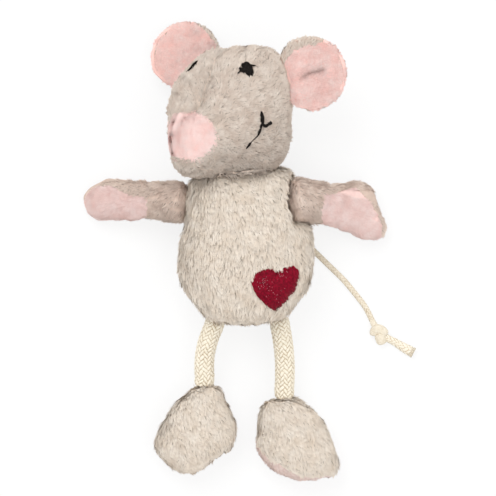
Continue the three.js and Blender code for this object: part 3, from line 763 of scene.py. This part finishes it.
# The arms' forms
ARM_LENGTH, ARM_WIDTH, ARM_DEPTH = 46, 24.5, 17
ARM_TURNS = {"left": -6, "right": 0}
ARM_RISES = {"left": 0.75, "right": 0.4}
ARM_SHARES = {
    "left": [[0.16, 0.86, 1.15, 0], [0.4, 0.92, 0.94, -0.03], [0.68, 1.15, 1, -0.12], [0.82, 1.03, 0.98, -0.23],
             [0.94, 0.68, 0.68, -0.38], [1, 0, 0, -0.48]],
    "right": [[0.16, 0.84, 1.1], [0.4, 0.78, 0.93], [0.68, 0.96, 1], [0.82, 1, 0.98], [0.94, 0.7, 0.68], [1, 0, 0]],
}
ARM_OUTLINES = {
    "left": ((45, 23.5), [
        (24.2, 37.3), (31.7, 35.8), (41.8, 33.0), (49.4, 33.7), (53.1, 35.3), (60.7, 34.8), (64.5, 30.2), (67.5, 20.1),
        (70.8, 12.6), (70.0, 7.5), (65.7, 4.3), (60.7, 3.8), (51.9, 7.5), (44.3, 11.3), (36.8, 13.3), (29.5, 12.5),
        (25.0, 11.6), (21.6, 13.0), (20.1, 17.0), (19.6, 22.2), (19.4, 27.2), (19.8, 33.2), (21.2, 36.6)]),
    "right": ((-56, 25), [
        (-29.6, 34.5), (-41.4, 34.8), (-48.9, 34.5), (-56.5, 35.3), (-64.0, 36.5), (-70.3, 37.3), (-76.7, 34.8),
        (-81.7, 30.8), (-83.7, 26.5), (-82.2, 20.2), (-77.9, 15.6), (-70.3, 14.4), (-61.5, 14.9), (-51.4, 15.9),
        (-43.9, 15.6), (-36.3, 13.4), (-30.8, 11.9), (-28.6, 16.6), (-28.0, 22.7), (-28.6, 29.2)]),
}


def make_arm_form(side):
    """The arm dips from the shoulder to the table."""
    sign = SIGNS[side]
    angle = math.radians(sign * ARM_TURNS[side])
    dip = (shoulders[side][2] - 7.2) / (ARM_LENGTH * 0.82)
    outward = np.array([sign * math.cos(angle), sign * math.sin(angle), 0]) * math.sqrt(1 - dip * dip)
    outward[2] = -dip

    def root_up(points):
        """The sleeve's root rises to the body's front."""
        away = points - shoulders[side]
        made = points.copy()
        made[..., 2] += np.clip(away[..., 2], 0, None) * ARM_RISES[side] * bell(-sign * away[..., 0] - 8, 7)
        return made
    place = place_at(shoulders[side], outward)
    rows = dome(0, LIMB_BALL, 1, True) + rows_of(ARM_SHARES[side], ARM_LENGTH, ARM_WIDTH, ARM_DEPTH, 2.1)
    form = loft(rows, place, sides=80, rings=120)
    reshape(form, *ARM_OUTLINES[side])
    form.change(root_up)
    trees[side + "_arm"] = form.tree()
    form.swell(0.35, 14, 31 + sign)
    form.swell(0.15, 6, 34 + sign)
    form.shrink(1.0)
    form.change(on_table)
    return form, place


arm_forms = {side: make_arm_form(side) for side in SIGNS}

# Drawings on the cloth, seen from above; a stroke's points have a width too
HEART = [
    (4.5, -12.1), (8.3, -10.5), (10.6, -9.8), (13.2, -10.4), (14.0, -12.1), (15.5, -11.0), (18.2, -9.6), (22.5, -8.1),
    (24.6, -9.6), (25.2, -12.2), (24.4, -15.7), (22.7, -19.8), (19.1, -24.2), (15.4, -28.0), (13.6, -29.3),
    (10.5, -27.6),
    (7.1, -24.6), (4.6, -21.6), (3.1, -18.4), (2.6, -16.3), (3.0, -14.0),
]
# The strip over the heart whose pile would hang down on it
ABOVE_HEART = [(x, y + (3.2 if y > -14 else 0)) for x, y in HEART]
LEFT_EYE = [
    (-1.6, 92.0), (0.1, 92.4), (1.6, 91.4), (2.3, 90.3), (2.7, 88.0), (2.0, 85.9), (0.5, 86.1), (-1.5, 87.7),
    (-3.3, 88.2), (-3.1, 89.6), (-2.4, 91.1),
]
LEFT_EYE_STRAYS = [
    [(1.5, 91.0, 0.5), (3.2, 90.9, 0.4), (4.9, 90.6, 0.2)], [(0.8, 87.4, 0.6), (1.3, 84.9, 0.25)],
    [(-2.4, 88.9, 0.6), (-4.6, 87.1, 0.25)],
]
RIGHT_EYE = [[(-29.5, 88.5, 0.15), (-27.5, 90.1, 0.6), (-25.7, 91.9, 0.85), (-25.0, 92.9, 0.5), (-24.1, 93.7, 0.12)]]
MOUTH = [
    [(6.9, 68.7, 0.25), (7.0, 67.4, 0.8), (7.1, 65.7, 1.1), (7.2, 63.6, 1.0), (7.1, 61.7, 0.7)],
    [(7.0, 62.2, 0.7), (8.9, 61.4, 0.8), (10.0, 62.2, 0.7), (10.8, 62.9, 1.1), (11.3, 63.4, 1.0)],
    [(6.9, 62.2, 0.5), (5.7, 59.2, 0.85), (5.1, 56.8, 0.4), (3.4, 55.1, 0.22), (1.7, 53.5, 0.25), (1.0, 52.7, 0.65),
     (-0.7, 50.5, 0.2)],
]
FRONT_HEIGHT = 20


def within(outline, grow=0.0):
    """A test for points on the front inside an outline grown by a share."""
    corners = np.array(outline, float)
    corners = corners + (corners - corners.mean(axis=0)) * grow

    def test(points):
        return inside(corners, points) & (points[..., 2] > FRONT_HEIGHT)
    return test


def near_strokes(strokes, margin):
    """A test for points on the front that lie on stitched strokes."""
    def test(points):
        found = np.zeros(points.shape[:-1], bool)
        for stroke in strokes:
            for a, b in zip(stroke, stroke[1:]):
                start, run = np.array(a[:2]), np.array(b[:2]) - np.array(a[:2])
                share = rising((points[..., :2] - start) @ run, run @ run)
                far = np.linalg.norm(points[..., :2] - start - share[..., None] * run, axis=-1)
                found |= far < a[2] + (b[2] - a[2]) * share + margin
        return found & (points[..., 2] > FRONT_HEIGHT)
    return test


def any_of(*tests):
    return lambda points: np.any([one(points) for one in tests], axis=0)


# Body
def at_arms(points):
    """The sign of each arm, and how near to the body's opening for it points lie."""
    for side, sign in SIGNS.items():
        yield sign, bell(distance(points, shoulders[side]) - LIMB_BALL - 1, 2.5)


def body_comb(points):
    """Down the body, more aslant towards the shoulders and the belly, and out over the arms' roots."""
    lean = 0.16 + 0.16 * np.clip(points[:, 1] / 25, -0.3, 1) + 0.1 * np.sin(points[:, 0] / 9 + points[:, 1] / 14)
    way = np.stack([lean, -np.ones(len(points)), np.zeros(len(points))], axis=1)
    for sign, near in at_arms(points):
        way = way + (0.8 if sign < 0 else 0.1) * near[:, None] * np.array([sign, 0, 0])
    return way


def at_shoulders(points):
    """Longer where the pile hangs over the right arm's root, shorter at the left one's crease."""
    return 1 - 0.2 * sum(sign * near for sign, near in at_arms(points))


def painted_shoulder_shade(points):
    """Painted shade in the seams round the arms."""
    made = np.ones(len(points))
    for side, depth in (("left", 0.45), ("right", 0.2)):
        far = np.linalg.norm((points - shoulders[side])[:, 1:], axis=1)
        made = made - depth * bell(distance(points, shoulders[side]) - LIMB_BALL - 1.5, 1.1) * (far < 16)
    return made


SHAGGY = {"lift": 13, "clump": 18, "pull": 0.65, "grain": (1, 0.42, 1)}
whole = body_form.whole()
upper_half = np.arange(whole.shape[1]) < whole.shape[1] // 2
heart_bare = any_of(within(HEART, 0.05), within(ABOVE_HEART), within(HEAD_OUTLINE, -0.04))
for name, mask, nodes, count, seed, width, bare in (
        ("body_front", whole & upper_half, ("body_front_panel", "body_stuffing"), 76000, 51, 0.32, heart_bare),
        ("body_back", whole & ~upper_half, ("body_back_panel",), 38000, 52, 0.36, nowhere)):
    panel(name, body_form, mask, "cream", "body", nodes, 0.85, count, 3.9, body_comb, seed, width=width, bare=bare,
          avoid=[(trees[part], 0.0) for part in ("head", "left_arm", "right_arm")], longer=at_shoulders,
          shade_at=painted_shoulder_shade, **SHAGGY)

# Head
NOSE_CENTRE, NOSE_REACH, NOSE_FAR_REACH = (-28.9, 56.4), (12.6, 10.8), 17.0


def nose_share(points):
    """One at the rim of the nose seen from above, less inside it."""
    across, along = points[..., 0] - NOSE_CENTRE[0], points[..., 1] - NOSE_CENTRE[1]
    return np.hypot(across / np.where(across < 0, NOSE_FAR_REACH, NOSE_REACH[0]), along / NOSE_REACH[1])


def nose_quads(behind, share):
    front = head_form.beyond(skull + snout * (HEAD_LENGTH - NOSE_LENGTH - behind), snout)
    return front & (nose_share(head_form.middles()) < share)


def from_neck(points, width):
    """How near to the seam of the neck points lie."""
    return bell(np.linalg.norm((points - np.array(NECK)) / NECK_SHARES, axis=1) - 29.0, width)


def from_nose(points):
    """Away from the nose, parted at the seam and down over the neck."""
    aside = seam_distance(points)
    parting = np.sign(aside) * bell(aside, 4) * 0.9
    return (unit(points - nose_tip) + parting[:, None] * head_place["side"]
            + from_neck(points, 3)[:, None] * np.array([0.1, -1.6, 0]))


def cheek_share(points):
    """How far down and to the right on the face points lie, from nought to one."""
    return rising(points[:, 0] * 0.45 - points[:, 1] + 62, 22)


def along_seam(points):
    """Painted shade in the seam's groove, and darker on the cheek and on the far side of the face."""
    aside = seam_distance(points)
    above = ((points - skull) @ head_place["up"]) > 0
    return (1 - 0.25 * bell(aside, 1.0) * above) * (1 - 0.33 * cheek_share(points)) * (1 - 0.1 * (aside < 0))


def thinning(points):
    """Leaves out more and more of the pink pile outside the nose, for a soft edge."""
    dither = np.mod(np.abs(points).sum(axis=1) * 97.3, 1)
    return dither < rising(nose_share(points) - 0.86, 0.34)


nose_mask = nose_quads(2, 1)
left_side = head_form.beyond(skull + SEAM_ASIDE * head_place["side"], head_place["side"])
face_bare = any_of(within(LEFT_EYE, 0.1), near_strokes(LEFT_EYE_STRAYS + RIGHT_EYE + MOUTH, 0.15))
for name, mask, nodes, seed in (("head_left", left_side, ("head_left_panel", "head_stuffing"), 61),
                                ("head_right", ~left_side, ("head_right_panel",), 62)):
    mask = mask & ~nose_mask & head_form.whole()
    panel(name, head_form, mask, "taupe", "head", nodes, 0.9, 48000, 2.8, from_nose, seed, lift=18, width=0.27,
          spread=36, pull=0.7, avoid=[(trees["body"], 0.2)], bare=face_bare, shade_at=along_seam, contrast=0.45,
          longer=lambda points: 1 + 0.6 * from_neck(points, 2.6),
          gaps=lambda points: 0.05 + 0.13 * cheek_share(points))
cloth("nose", head_form, nose_mask, "nose", "head", ("nose_cap",))
pile("nose", head_form, nose_quads(6, 1.25), "nose", "head", 44000, 1.7, combed((0.3, -1, 0)), 63, lift=16, width=0.24,
     spread=60, contrast=0.05, gaps=0, bare=thinning)

# Ears; the taupe back shows at the front in a band on the rim, towards a direction and beyond a share of the turn
EARS = {
    "left": {"outward": (0.95, 0.3, 0.05), "facing": (0, 0.05, 1), "back_shows": (-0.65, 0.76, 0.4, 4.0),
             "shift": (0, 0, 0), "radius": 17.9, "pleat": 1},
    "right": {"outward": (-0.15, 0.98, 0), "facing": (-0.2, 0.1, 1), "back_shows": (0.9, 0.45, 0.75, 1.4),
              "shift": (0.8, -0.5, 0), "radius": 17.2, "pleat": 0},
}
PLEAT_START, PLEAT_RUN = (-6, -2.6), (13.75, 5.75)


def pleat_at(x, y, width):
    """How deep in the pleat points lie, falling off over a width and towards both ends."""
    x, y = x - PLEAT_START[0], y - PLEAT_START[1]
    t = rising(x * PLEAT_RUN[0] + y * PLEAT_RUN[1], PLEAT_RUN[0] ** 2 + PLEAT_RUN[1] ** 2)
    far = np.hypot(x - PLEAT_RUN[0] * t, y - PLEAT_RUN[1] * t)
    return bell(far, width) * rising(4 * t * (1 - t)) ** 0.5


def make_ear(side):
    facts = EARS[side]
    radius, body = facts["radius"], side + "_ear"
    root = pivot(side + "_ear_fold")
    place = place_at(root, facts["outward"], facts["facing"])
    centre = root + 16 * place["along"] + facts["shift"]
    sides, half = 96, 26
    share = np.sin(np.linspace(0, math.pi / 2, half))
    dish, thick = 3 * share ** 2, 1.6 * (1 - share ** 6)
    out = np.concatenate([share, share[::-1][1:]])[:, None] * radius
    height = np.concatenate([dish - thick, (dish + thick)[::-1][1:]])
    form = Form(centre + (out * np.cos(circle(sides)))[..., None] * place["along"]
                + (out * np.sin(circle(sides)))[..., None] * place["side"] + height[:, None, None] * place["up"])

    def shape(points):
        local = points - root
        along, across = local @ place["along"], local @ place["side"]
        narrow = 0.72 + 0.28 * rising(along, 11) ** 0.8
        made = points + ((narrow - 1) * across)[..., None] * place["side"]
        local = made - centre
        x, y = local[..., 0], local[..., 1]
        is_front = local @ place["up"] > 3 * (np.hypot(x, y) / radius) ** 2
        fold = np.where(is_front, 1.7, 0.5) * pleat_at(x, y, 2.1) + 0.5 * np.clip(7 - along, 0, 12)
        return made - (facts["pleat"] * fold)[..., None] * place["up"]
    form.change(shape)
    form.swell(0.2, 15, 71)
    x, y, least, band = facts["back_shows"]
    middles = form.middles() - centre
    reach = np.hypot(middles[..., 0], middles[..., 1])
    towards = (middles[..., 0] * x + middles[..., 1] * y) / np.maximum(reach, 1e-6)
    rim = radius - 0.4 - band * rising(towards - least, 0.25)
    order = np.arange(form.points.shape[0] - 1)[:, None]
    front = (order >= half - 4) & ((towards < least) | ((order >= half) & (reach < rim)))

    def outwards(points):
        return points - root - place["up"] * 6

    # painted shade in the ear's pleat, deepest along its middle
    def painted_pleat_shade(points):
        away = points - centre
        return 1 - 0.75 * facts["pleat"] * pleat_at(away[:, 0], away[:, 1], 1.7)
    avoid = [(trees["head"], 0.3)]
    cloth(body + "_front", form, front, "pink", body, (body + "_front",), thickness=0.8)
    cloth(body + "_back", form, ~front, "brown", body, (body + "_back",), thickness=0.8)
    pile(body + "_front", form, front, "pink", body, 18000, 1.7, outwards, 72, avoid=avoid, lift=28, width=0.26,
         spread=40, contrast=0.4, gaps=0, shade_at=painted_pleat_shade)
    pile(body + "_back", form, ~front, "taupe", body, 14000, 1.9, outwards, 73, avoid=avoid, lift=30, width=0.3,
         spread=28)


# Arms
PALM_ROLLS = {"left": 12, "right": 20}
PALM_OUTLINES = {
    "left": [(36.6, 29.1), (43.1, 28.6), (49.1, 30.6), (54.2, 32.1), (57.7, 29.1), (62.7, 23.6), (66.7, 16), (67.7, 7),
             (66, 0), (36.9, 0)],
    "right": [(-49.8, 26.6), (-58.3, 27.4), (-62.2, 28.8), (-67.4, 32.2), (-76.6, 31.8), (-80.9, 27.5), (-82.8, 22.3),
              (-84, 10), (-49.8, 10)],
}


def make_arm(side):
    form, place = arm_forms[side]
    angle = math.radians(SIGNS[side] * PALM_ROLLS[side])
    facing = place["up"] * math.cos(angle) + np.cross(place["along"], place["up"]) * math.sin(angle)
    front = form.beyond(shoulders[side], facing)
    palm = front & inside(PALM_OUTLINES[side], form.middles())

    def along(points):
        return (points - shoulders[side]) @ place["along"]

    def comb(points):
        """Along the arm, and straight down it near the shoulder."""
        near = bell(distance(points, shoulders[side]), 14)
        return place["along"] + np.array([0, -0.5, 0]) + near[:, None] * np.array([0, -1.2, 0])

    # painted shade on the arm's lower side near its root, by the body
    def root_shade(points):
        return 1 - 0.25 * rising(shoulders[side][1] + 2 - points[:, 1], 8) * bell(along(points), 9)
    sleeve_hair = {"length": 2.3, "lift": 20, "clump": 12, "pull": 0.6, "shade_at": root_shade, "gaps": 0.06,
                   "longer": lambda points: 1 + 0.4 * bell(along(points), 5)}
    palm_hair = {"length": 1.6, "clump": 10, "contrast": 0.25, "gaps": 0}
    body = side + "_arm"
    for name, mask, colour, nodes, count, seed, hair in (
            (body + "_back", ~front, "brown", (body + "_back_panel", body + "_stuffing"), 20000, 81, sleeve_hair),
            (side + "_sleeve", front & ~palm, "brown", (side + "_sleeve",), 10000, 82, sleeve_hair),
            (side + "_palm", palm, "blush", (side + "_palm",), 15000, 83, palm_hair)):
        panel(name, form, mask, colour, body, nodes, 0.8, count, comb=comb, seed=seed, width=0.28,
              avoid=[(trees["body"], 0.3)], **hair)


# Legs and feet
ROPE_RADIUS = 4.9
BOWS = {"left": 1.2, "right": -2.2}
LOW_SHIFTS = {"left": 0, "right": -1.6}
SOLE_TILTS = {"left": (0.4, 0.85, 1), "right": (0, 0, 1)}
SOLE_HEIGHT = 6.8
FOOT_TURNS = {"left": 11, "right": -13}
FOOT_SEEDS = {"left": 41, "right": 45}
FOOT_START, FOOT_MIDDLE = 3.1, 20.75
FOOT_MIDDLE_HEIGHT = 12
FOOT_LENGTH, FOOT_WIDTH, FOOT_DEPTH = 42.7, 39.5, 25
FOOT_SHARES = [
    [0, 0, 0], [0.03, 0.36, 0.52], [0.15, 0.6, 0.7], [0.38, 0.88, 0.9], [0.62, 1.01, 1],
    [0.82, 0.9, 0.88], [0.95, 0.58, 0.55], [1, 0, 0],
]
FOOT_OUTLINES = {
    "right": ((-25.5, -90), [
        (-21.2, -68.1), (-16.3, -67.7), (-13.2, -69.9), (-10.6, -75.2), (-7.5, -82.8), (-5.7, -89.7), (-5.7, -94.7),
        (-7.5, -100.1), (-11.1, -101.9), (-17.0, -106.3), (-23.8, -111.0), (-28.3, -112.6), (-34.5, -111.7),
        (-40.8, -107.9), (-45.2, -102.9), (-46.7, -98.5), (-45.5, -92.2), (-42.7, -85.3), (-38.9, -79.7),
        (-32.6, -74.0),
        (-28.3, -70.8)]),
    "left": ((24, -96), [
        (9.4, -75.5), (12.6, -74.2), (18.7, -73.9), (25.1, -74.6), (29.5, -77.4), (35.2, -82.1), (38.9, -87.8),
        (41.4, -94.1), (44.5, -101.6), (46.3, -107.3), (45.8, -111.0), (43.3, -113.5), (39.5, -114.2), (37.0, -116.0),
        (33.9, -117.0), (26.4, -116.6), (18.8, -114.8), (12.6, -111.0), (7.5, -105.3), (4.4, -99.7), (4.1, -96.6),
        (5.3, -91.6), (5.6, -85.9), (6.3, -81.5), (7.9, -77.8)]),
}


def make_leg(side):
    hip, ankle = hips[side], ankles[side]
    run = ankle - hip
    place = place_at(hip, run)
    knots = [hip - place["along"] * ROPE_BALL]
    for share in np.linspace(0, 1, 9):
        knots.append(hip + run * share + place["side"] * BOWS[side] * math.sin(share * math.pi))
    knots.append(ankle + place["along"] * ROPE_BALL)
    line = catmull(knots, 320)
    down = np.linspace(0, 1, 320)
    line[:, 0] += LOW_SHIFTS[side] * down * down
    points, faces, tone = braid(line, radius=ROPE_RADIUS, strands=14, pitch=2.5, relief=0.8, sides=192, ends=ROPE_BALL)
    rope = add_mesh(side + "_rope", points, faces, "rope", side + "_leg", "cotton_cord", tone=tone)
    weld(rope)
    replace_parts(rope, side + "_leg_rope")


def ball_tree(centre, radius):
    rows = dome(0, radius, 1, True) + dome(0, radius, 1, False)[1:]
    return loft(rows, place_at(centre, (0, 0, 1), (0, 1, 0)), 24, 20).tree()


def make_foot(side):
    angle = math.radians(FOOT_TURNS[side])
    heading = np.array([math.sin(angle), -math.cos(angle), 0])
    origin = ankles[side] + heading * FOOT_START
    origin[2] = FOOT_MIDDLE_HEIGHT
    place = place_at(origin, heading)
    form = loft(rows_of(FOOT_SHARES, FOOT_LENGTH, FOOT_WIDTH, FOOT_DEPTH, 2.2), place, sides=120, rings=110)
    reshape(form, *FOOT_OUTLINES[side])
    form.swell(0.5, 18, FOOT_SEEDS[side])
    form.swell(0.2, 7, 42)
    form.shrink(0.8)
    form.change(on_table, over(ankles[side], ROPE_BALL + 0.7))
    point = place["origin"] + place["along"] * FOOT_MIDDLE
    point[2] = SOLE_HEIGHT
    whole, above = form.whole(), form.beyond(point, SOLE_TILTS[side])
    body = side + "_foot"
    panel(body + "_upper", form, above & whole, "cream", body, (body + "_upper", body + "_stuffing"), 0.85, 32000, 3.3,
          combed((0.5, -1, 0)), 91, width=0.32, contrast=0.42, gaps=0.03,
          avoid=[(ball_tree(ankles[side], ROPE_BALL + 0.5), 0)], **SHAGGY)
    panel(body + "_sole", form, ~above & whole, "sole", body, (body + "_sole",), 0.85, 9000, 1.3,
          combed(place["along"]), 92, lift=30, width=0.3, contrast=0.15, gaps=0)


for make in (make_ear, make_arm, make_leg, make_foot):
    for side in SIGNS:
        make(side)


# Stitches
def surface_point(tree, start, way):
    at, normal, _, _ = tree.ray_cast(Vector(start), Vector(way))
    return (np.array(at), np.array(normal)) if at is not None else (None, None)


def scan(outline, spacing, angle):
    """The stretches of parallel lines that lie inside an outline."""
    turn = np.array([[math.cos(angle), math.sin(angle)], [-math.sin(angle), math.cos(angle)]])
    points = np.asarray(outline) @ turn.T
    found = []
    for x in np.arange(points[:, 0].min() + spacing / 2, points[:, 0].max(), spacing):
        cuts = sorted(a[1] + (b[1] - a[1]) * (x - a[0]) / (b[0] - a[0])
                      for a, b in zip(points, np.roll(points, -1, axis=0)) if (a[0] - x) * (b[0] - x) < 0)
        for low, high in zip(cuts[::2], cuts[1::2]):
            if high - low > 0.4:
                found.append((np.array([x, low]) @ turn, np.array([x, high]) @ turn))
    return found


def laid(tree, spot, rise):
    """A point in millimetres over a surface, straight under a spot seen from above, and the surface's normal."""
    at, normal = surface_point(tree, (spot[0], spot[1], 100), (0, 0, -1))
    return (None, None) if at is None else (at + normal * rise, normal)


def satin(outline, tree, spacing, radius, angle, seed, layers=2, crown=0.9):
    """Parallel threads across an outline seen from above, laid over a surface, with ragged ends."""
    rng = np.random.default_rng(seed)
    parts = []
    for layer in range(layers):
        for low, high in scan(outline, spacing, angle + 0.16 * layer):
            way = (high - low) / max(np.linalg.norm(high - low), 1e-6)
            low = low - way * RAGGED * rng.uniform(-0.6, 1)
            high = high + way * RAGGED * rng.uniform(-0.6, 1)
            line = []
            for s in np.linspace(0, 1, max(6, int(np.linalg.norm(high - low) / 0.9))):
                rise = 0.2 + crown * math.sin(math.pi * s) ** 0.5 + 0.2 * layer + 0.06 * rng.normal()
                line.append(laid(tree, low + (high - low) * s, rise)[0])
            line = [at for at in line if at is not None]
            if len(line) > 3:
                parts.append(tube(line, radius * rng.uniform(0.85, 1.15), 6))
    return parts


def strokes(lines, tree, rise=0.8):
    """Stitched strokes seen from above: bundles of twisted strands as wide as each point says."""
    parts = []
    for stroke in lines:
        fine = catmull(stroke, 8 * len(stroke))
        ways = unit(np.gradient(fine[:, :2], axis=0))
        for strand in range(6):
            line, radii = [], []
            for k, ((x, y, width), way) in enumerate(zip(fine, ways)):
                at, normal = laid(tree, (x, y), rise)
                if at is None:
                    continue
                angle = TURN * (k * 0.05 + strand / 6)
                beside = np.array([-way[1], way[0], 0])
                line.append(at + normal * (0.5 * width * math.sin(angle)) + beside * (0.55 * width * math.cos(angle)))
                radii.append(max(0.48 * width, 0.09))
            if len(line) > 3:
                parts.append(tube(line, np.array(radii), 6))
    return parts


def glints(spots, tree, seed):
    """Painted highlights: short bright bits of thread scattered round spots given as x, y, reach and count."""
    rng = np.random.default_rng(seed)
    parts = []
    for x, y, reach, count in spots:
        for _ in range(count):
            start = np.array([x, y]) + rng.normal(size=2) * reach
            way = np.array([-0.3, 0.95]) * rng.uniform(0.1, 0.35)
            line = [laid(tree, start + way * t, GLINT_RISE)[0] for t in (0, 0.5, 1)]
            if all(at is not None for at in line) and inside(HEART, np.array(line)).all():
                parts.append(tube(line, 0.11, 5))
    return parts


def other_cheek():
    """The same mouth on the cheek that is turned away, mirrored in the middle of the face."""
    side, up = head_place["side"], head_place["up"]

    def mirrored(way):
        way = np.array(way, float)
        return way - 2 * way.dot(side) * side
    left, right = (skull + MOUTH_AHEAD * snout + aside * side - MOUTH_DOWN * up for aside in MOUTH_ASIDE)
    way = mirrored((0, 0, 1))
    parts = []
    for stroke in MOUTH:
        line, radii = [], []
        for x, y, width in catmull(stroke, 8 * len(stroke)):
            spot = right + (x - left[0]) * mirrored((1, 0, 0)) + (y - left[1]) * mirrored((0, 1, 0))
            at, normal = surface_point(head_tree, spot + way * 60, -way)
            if at is not None:
                line.append(at + normal * 0.7)
                radii.append(0.8 * width)
        if len(line) > 3:
            parts.append(tube(line, np.array(radii), 8))
    return parts


RAGGED = 0.9
MOUTH_AHEAD, MOUTH_DOWN, MOUTH_ASIDE = 20, 15.1, (7, -13)
GLINT_RISE = 1.75
# spots of painted highlights on the heart's satin: x, y, reach and count
GLINT_SPOTS = [(8.5, -16.5, 2.2, 30), (17.5, -12.6, 1.3, 16), (12.5, -20.0, 3.2, 22)]
left_eye = satin(LEFT_EYE, head_tree, 0.4, 0.36, 0.6, 111) + strokes(LEFT_EYE_STRAYS, head_tree)
for name, parts, colour, body, node in (
        ("heart_satin", satin(HEART, trees["body"], 0.42, 0.3, 0.3, 101, layers=3, crown=1.0), "red", "body",
         "heart_embroidery"),
        ("left_eye_satin", left_eye, "black", "head", "left_eye"),
        ("right_eye_satin", strokes(RIGHT_EYE, head_tree), "black", "head", "right_eye"),
        ("left_mouth_thread", strokes(MOUTH, head_tree), "black", "head", "left_mouth_stitching"),
        ("right_mouth_thread", other_cheek(), "black", "head", "right_mouth_stitching")):
    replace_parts(add_mesh(name, *gather(parts), "thread_" + colour, body, colour + "_thread"), node)
add_mesh("heart_glints", *gather(glints(GLINT_SPOTS, trees["body"], 103)), "thread_glint", "body", "red_thread")

# Seam threads of the frame
for name, node in frame["nodes"].items():
    if name.endswith("_stitching") and "mouth" not in name:
        node.data.materials.clear()
        node.data.materials.append(finishes["brown_thread" if "shoulder" in name else "seam_thread"])


# Floor and light
FLOOR_REACH = 3
FLOOR_HEIGHT = -0.0001
FLOOR_GLOW = 0.8
WORLD_LIGHT = 0.74
# Name, place, size and power of each lamp
LAMPS = (("key", (-0.5, 0.9, 1.5), 1.2, 16), ("fill", (0.8, -0.4, 1.6), 1.4, 9))


def make_stage():
    floor = bpy.data.meshes.new("floor")
    corners = [(FLOOR_REACH * x, FLOOR_REACH * y, FLOOR_HEIGHT) for x, y in ((-1, -1), (1, -1), (1, 1), (-1, 1))]
    floor.from_pydata(corners, [], [(0, 1, 2, 3)])
    made, tree, shader = new_material("floor")
    feed(tree, shader, {"Base Color": (0.9, 0.9, 0.9, 1), "Roughness": 0.9})
    seen = add_node(tree, "LightPath").outputs["Is Camera Ray"]
    glow = add_node(tree, "Emission", {"Strength": 1.0}).outputs["Emission"]
    share = add_node(tree, "Math", {0: seen, 1: FLOOR_GLOW}, operation="MULTIPLY").outputs["Value"]
    mix = add_node(tree, "MixShader", {"Fac": share, 1: shader.outputs["BSDF"], 2: glow})
    feed(tree, tree.nodes["Material Output"], {"Surface": mix.outputs["Shader"]})
    floor.materials.append(made)
    linked(bpy.data.objects.new("floor", floor))
    for name, place, size, power in LAMPS:
        lamp = linked(bpy.data.objects.new(name, bpy.data.lights.new(name, "AREA")))
        lamp.data.size = size
        lamp.data.energy = power
        lamp.location = place
        lamp.rotation_euler = (-Vector(place)).to_track_quat("-Z", "Y").to_euler()
    world = bpy.context.scene.world or bpy.data.worlds.new("world")
    bpy.context.scene.world = world
    world.use_nodes = True
    feed(world.node_tree, world.node_tree.nodes["Background"], {"Color": (1, 1, 1, 1), "Strength": WORLD_LIGHT})
    bpy.context.scene.view_settings.view_transform = "Standard"


make_stage()
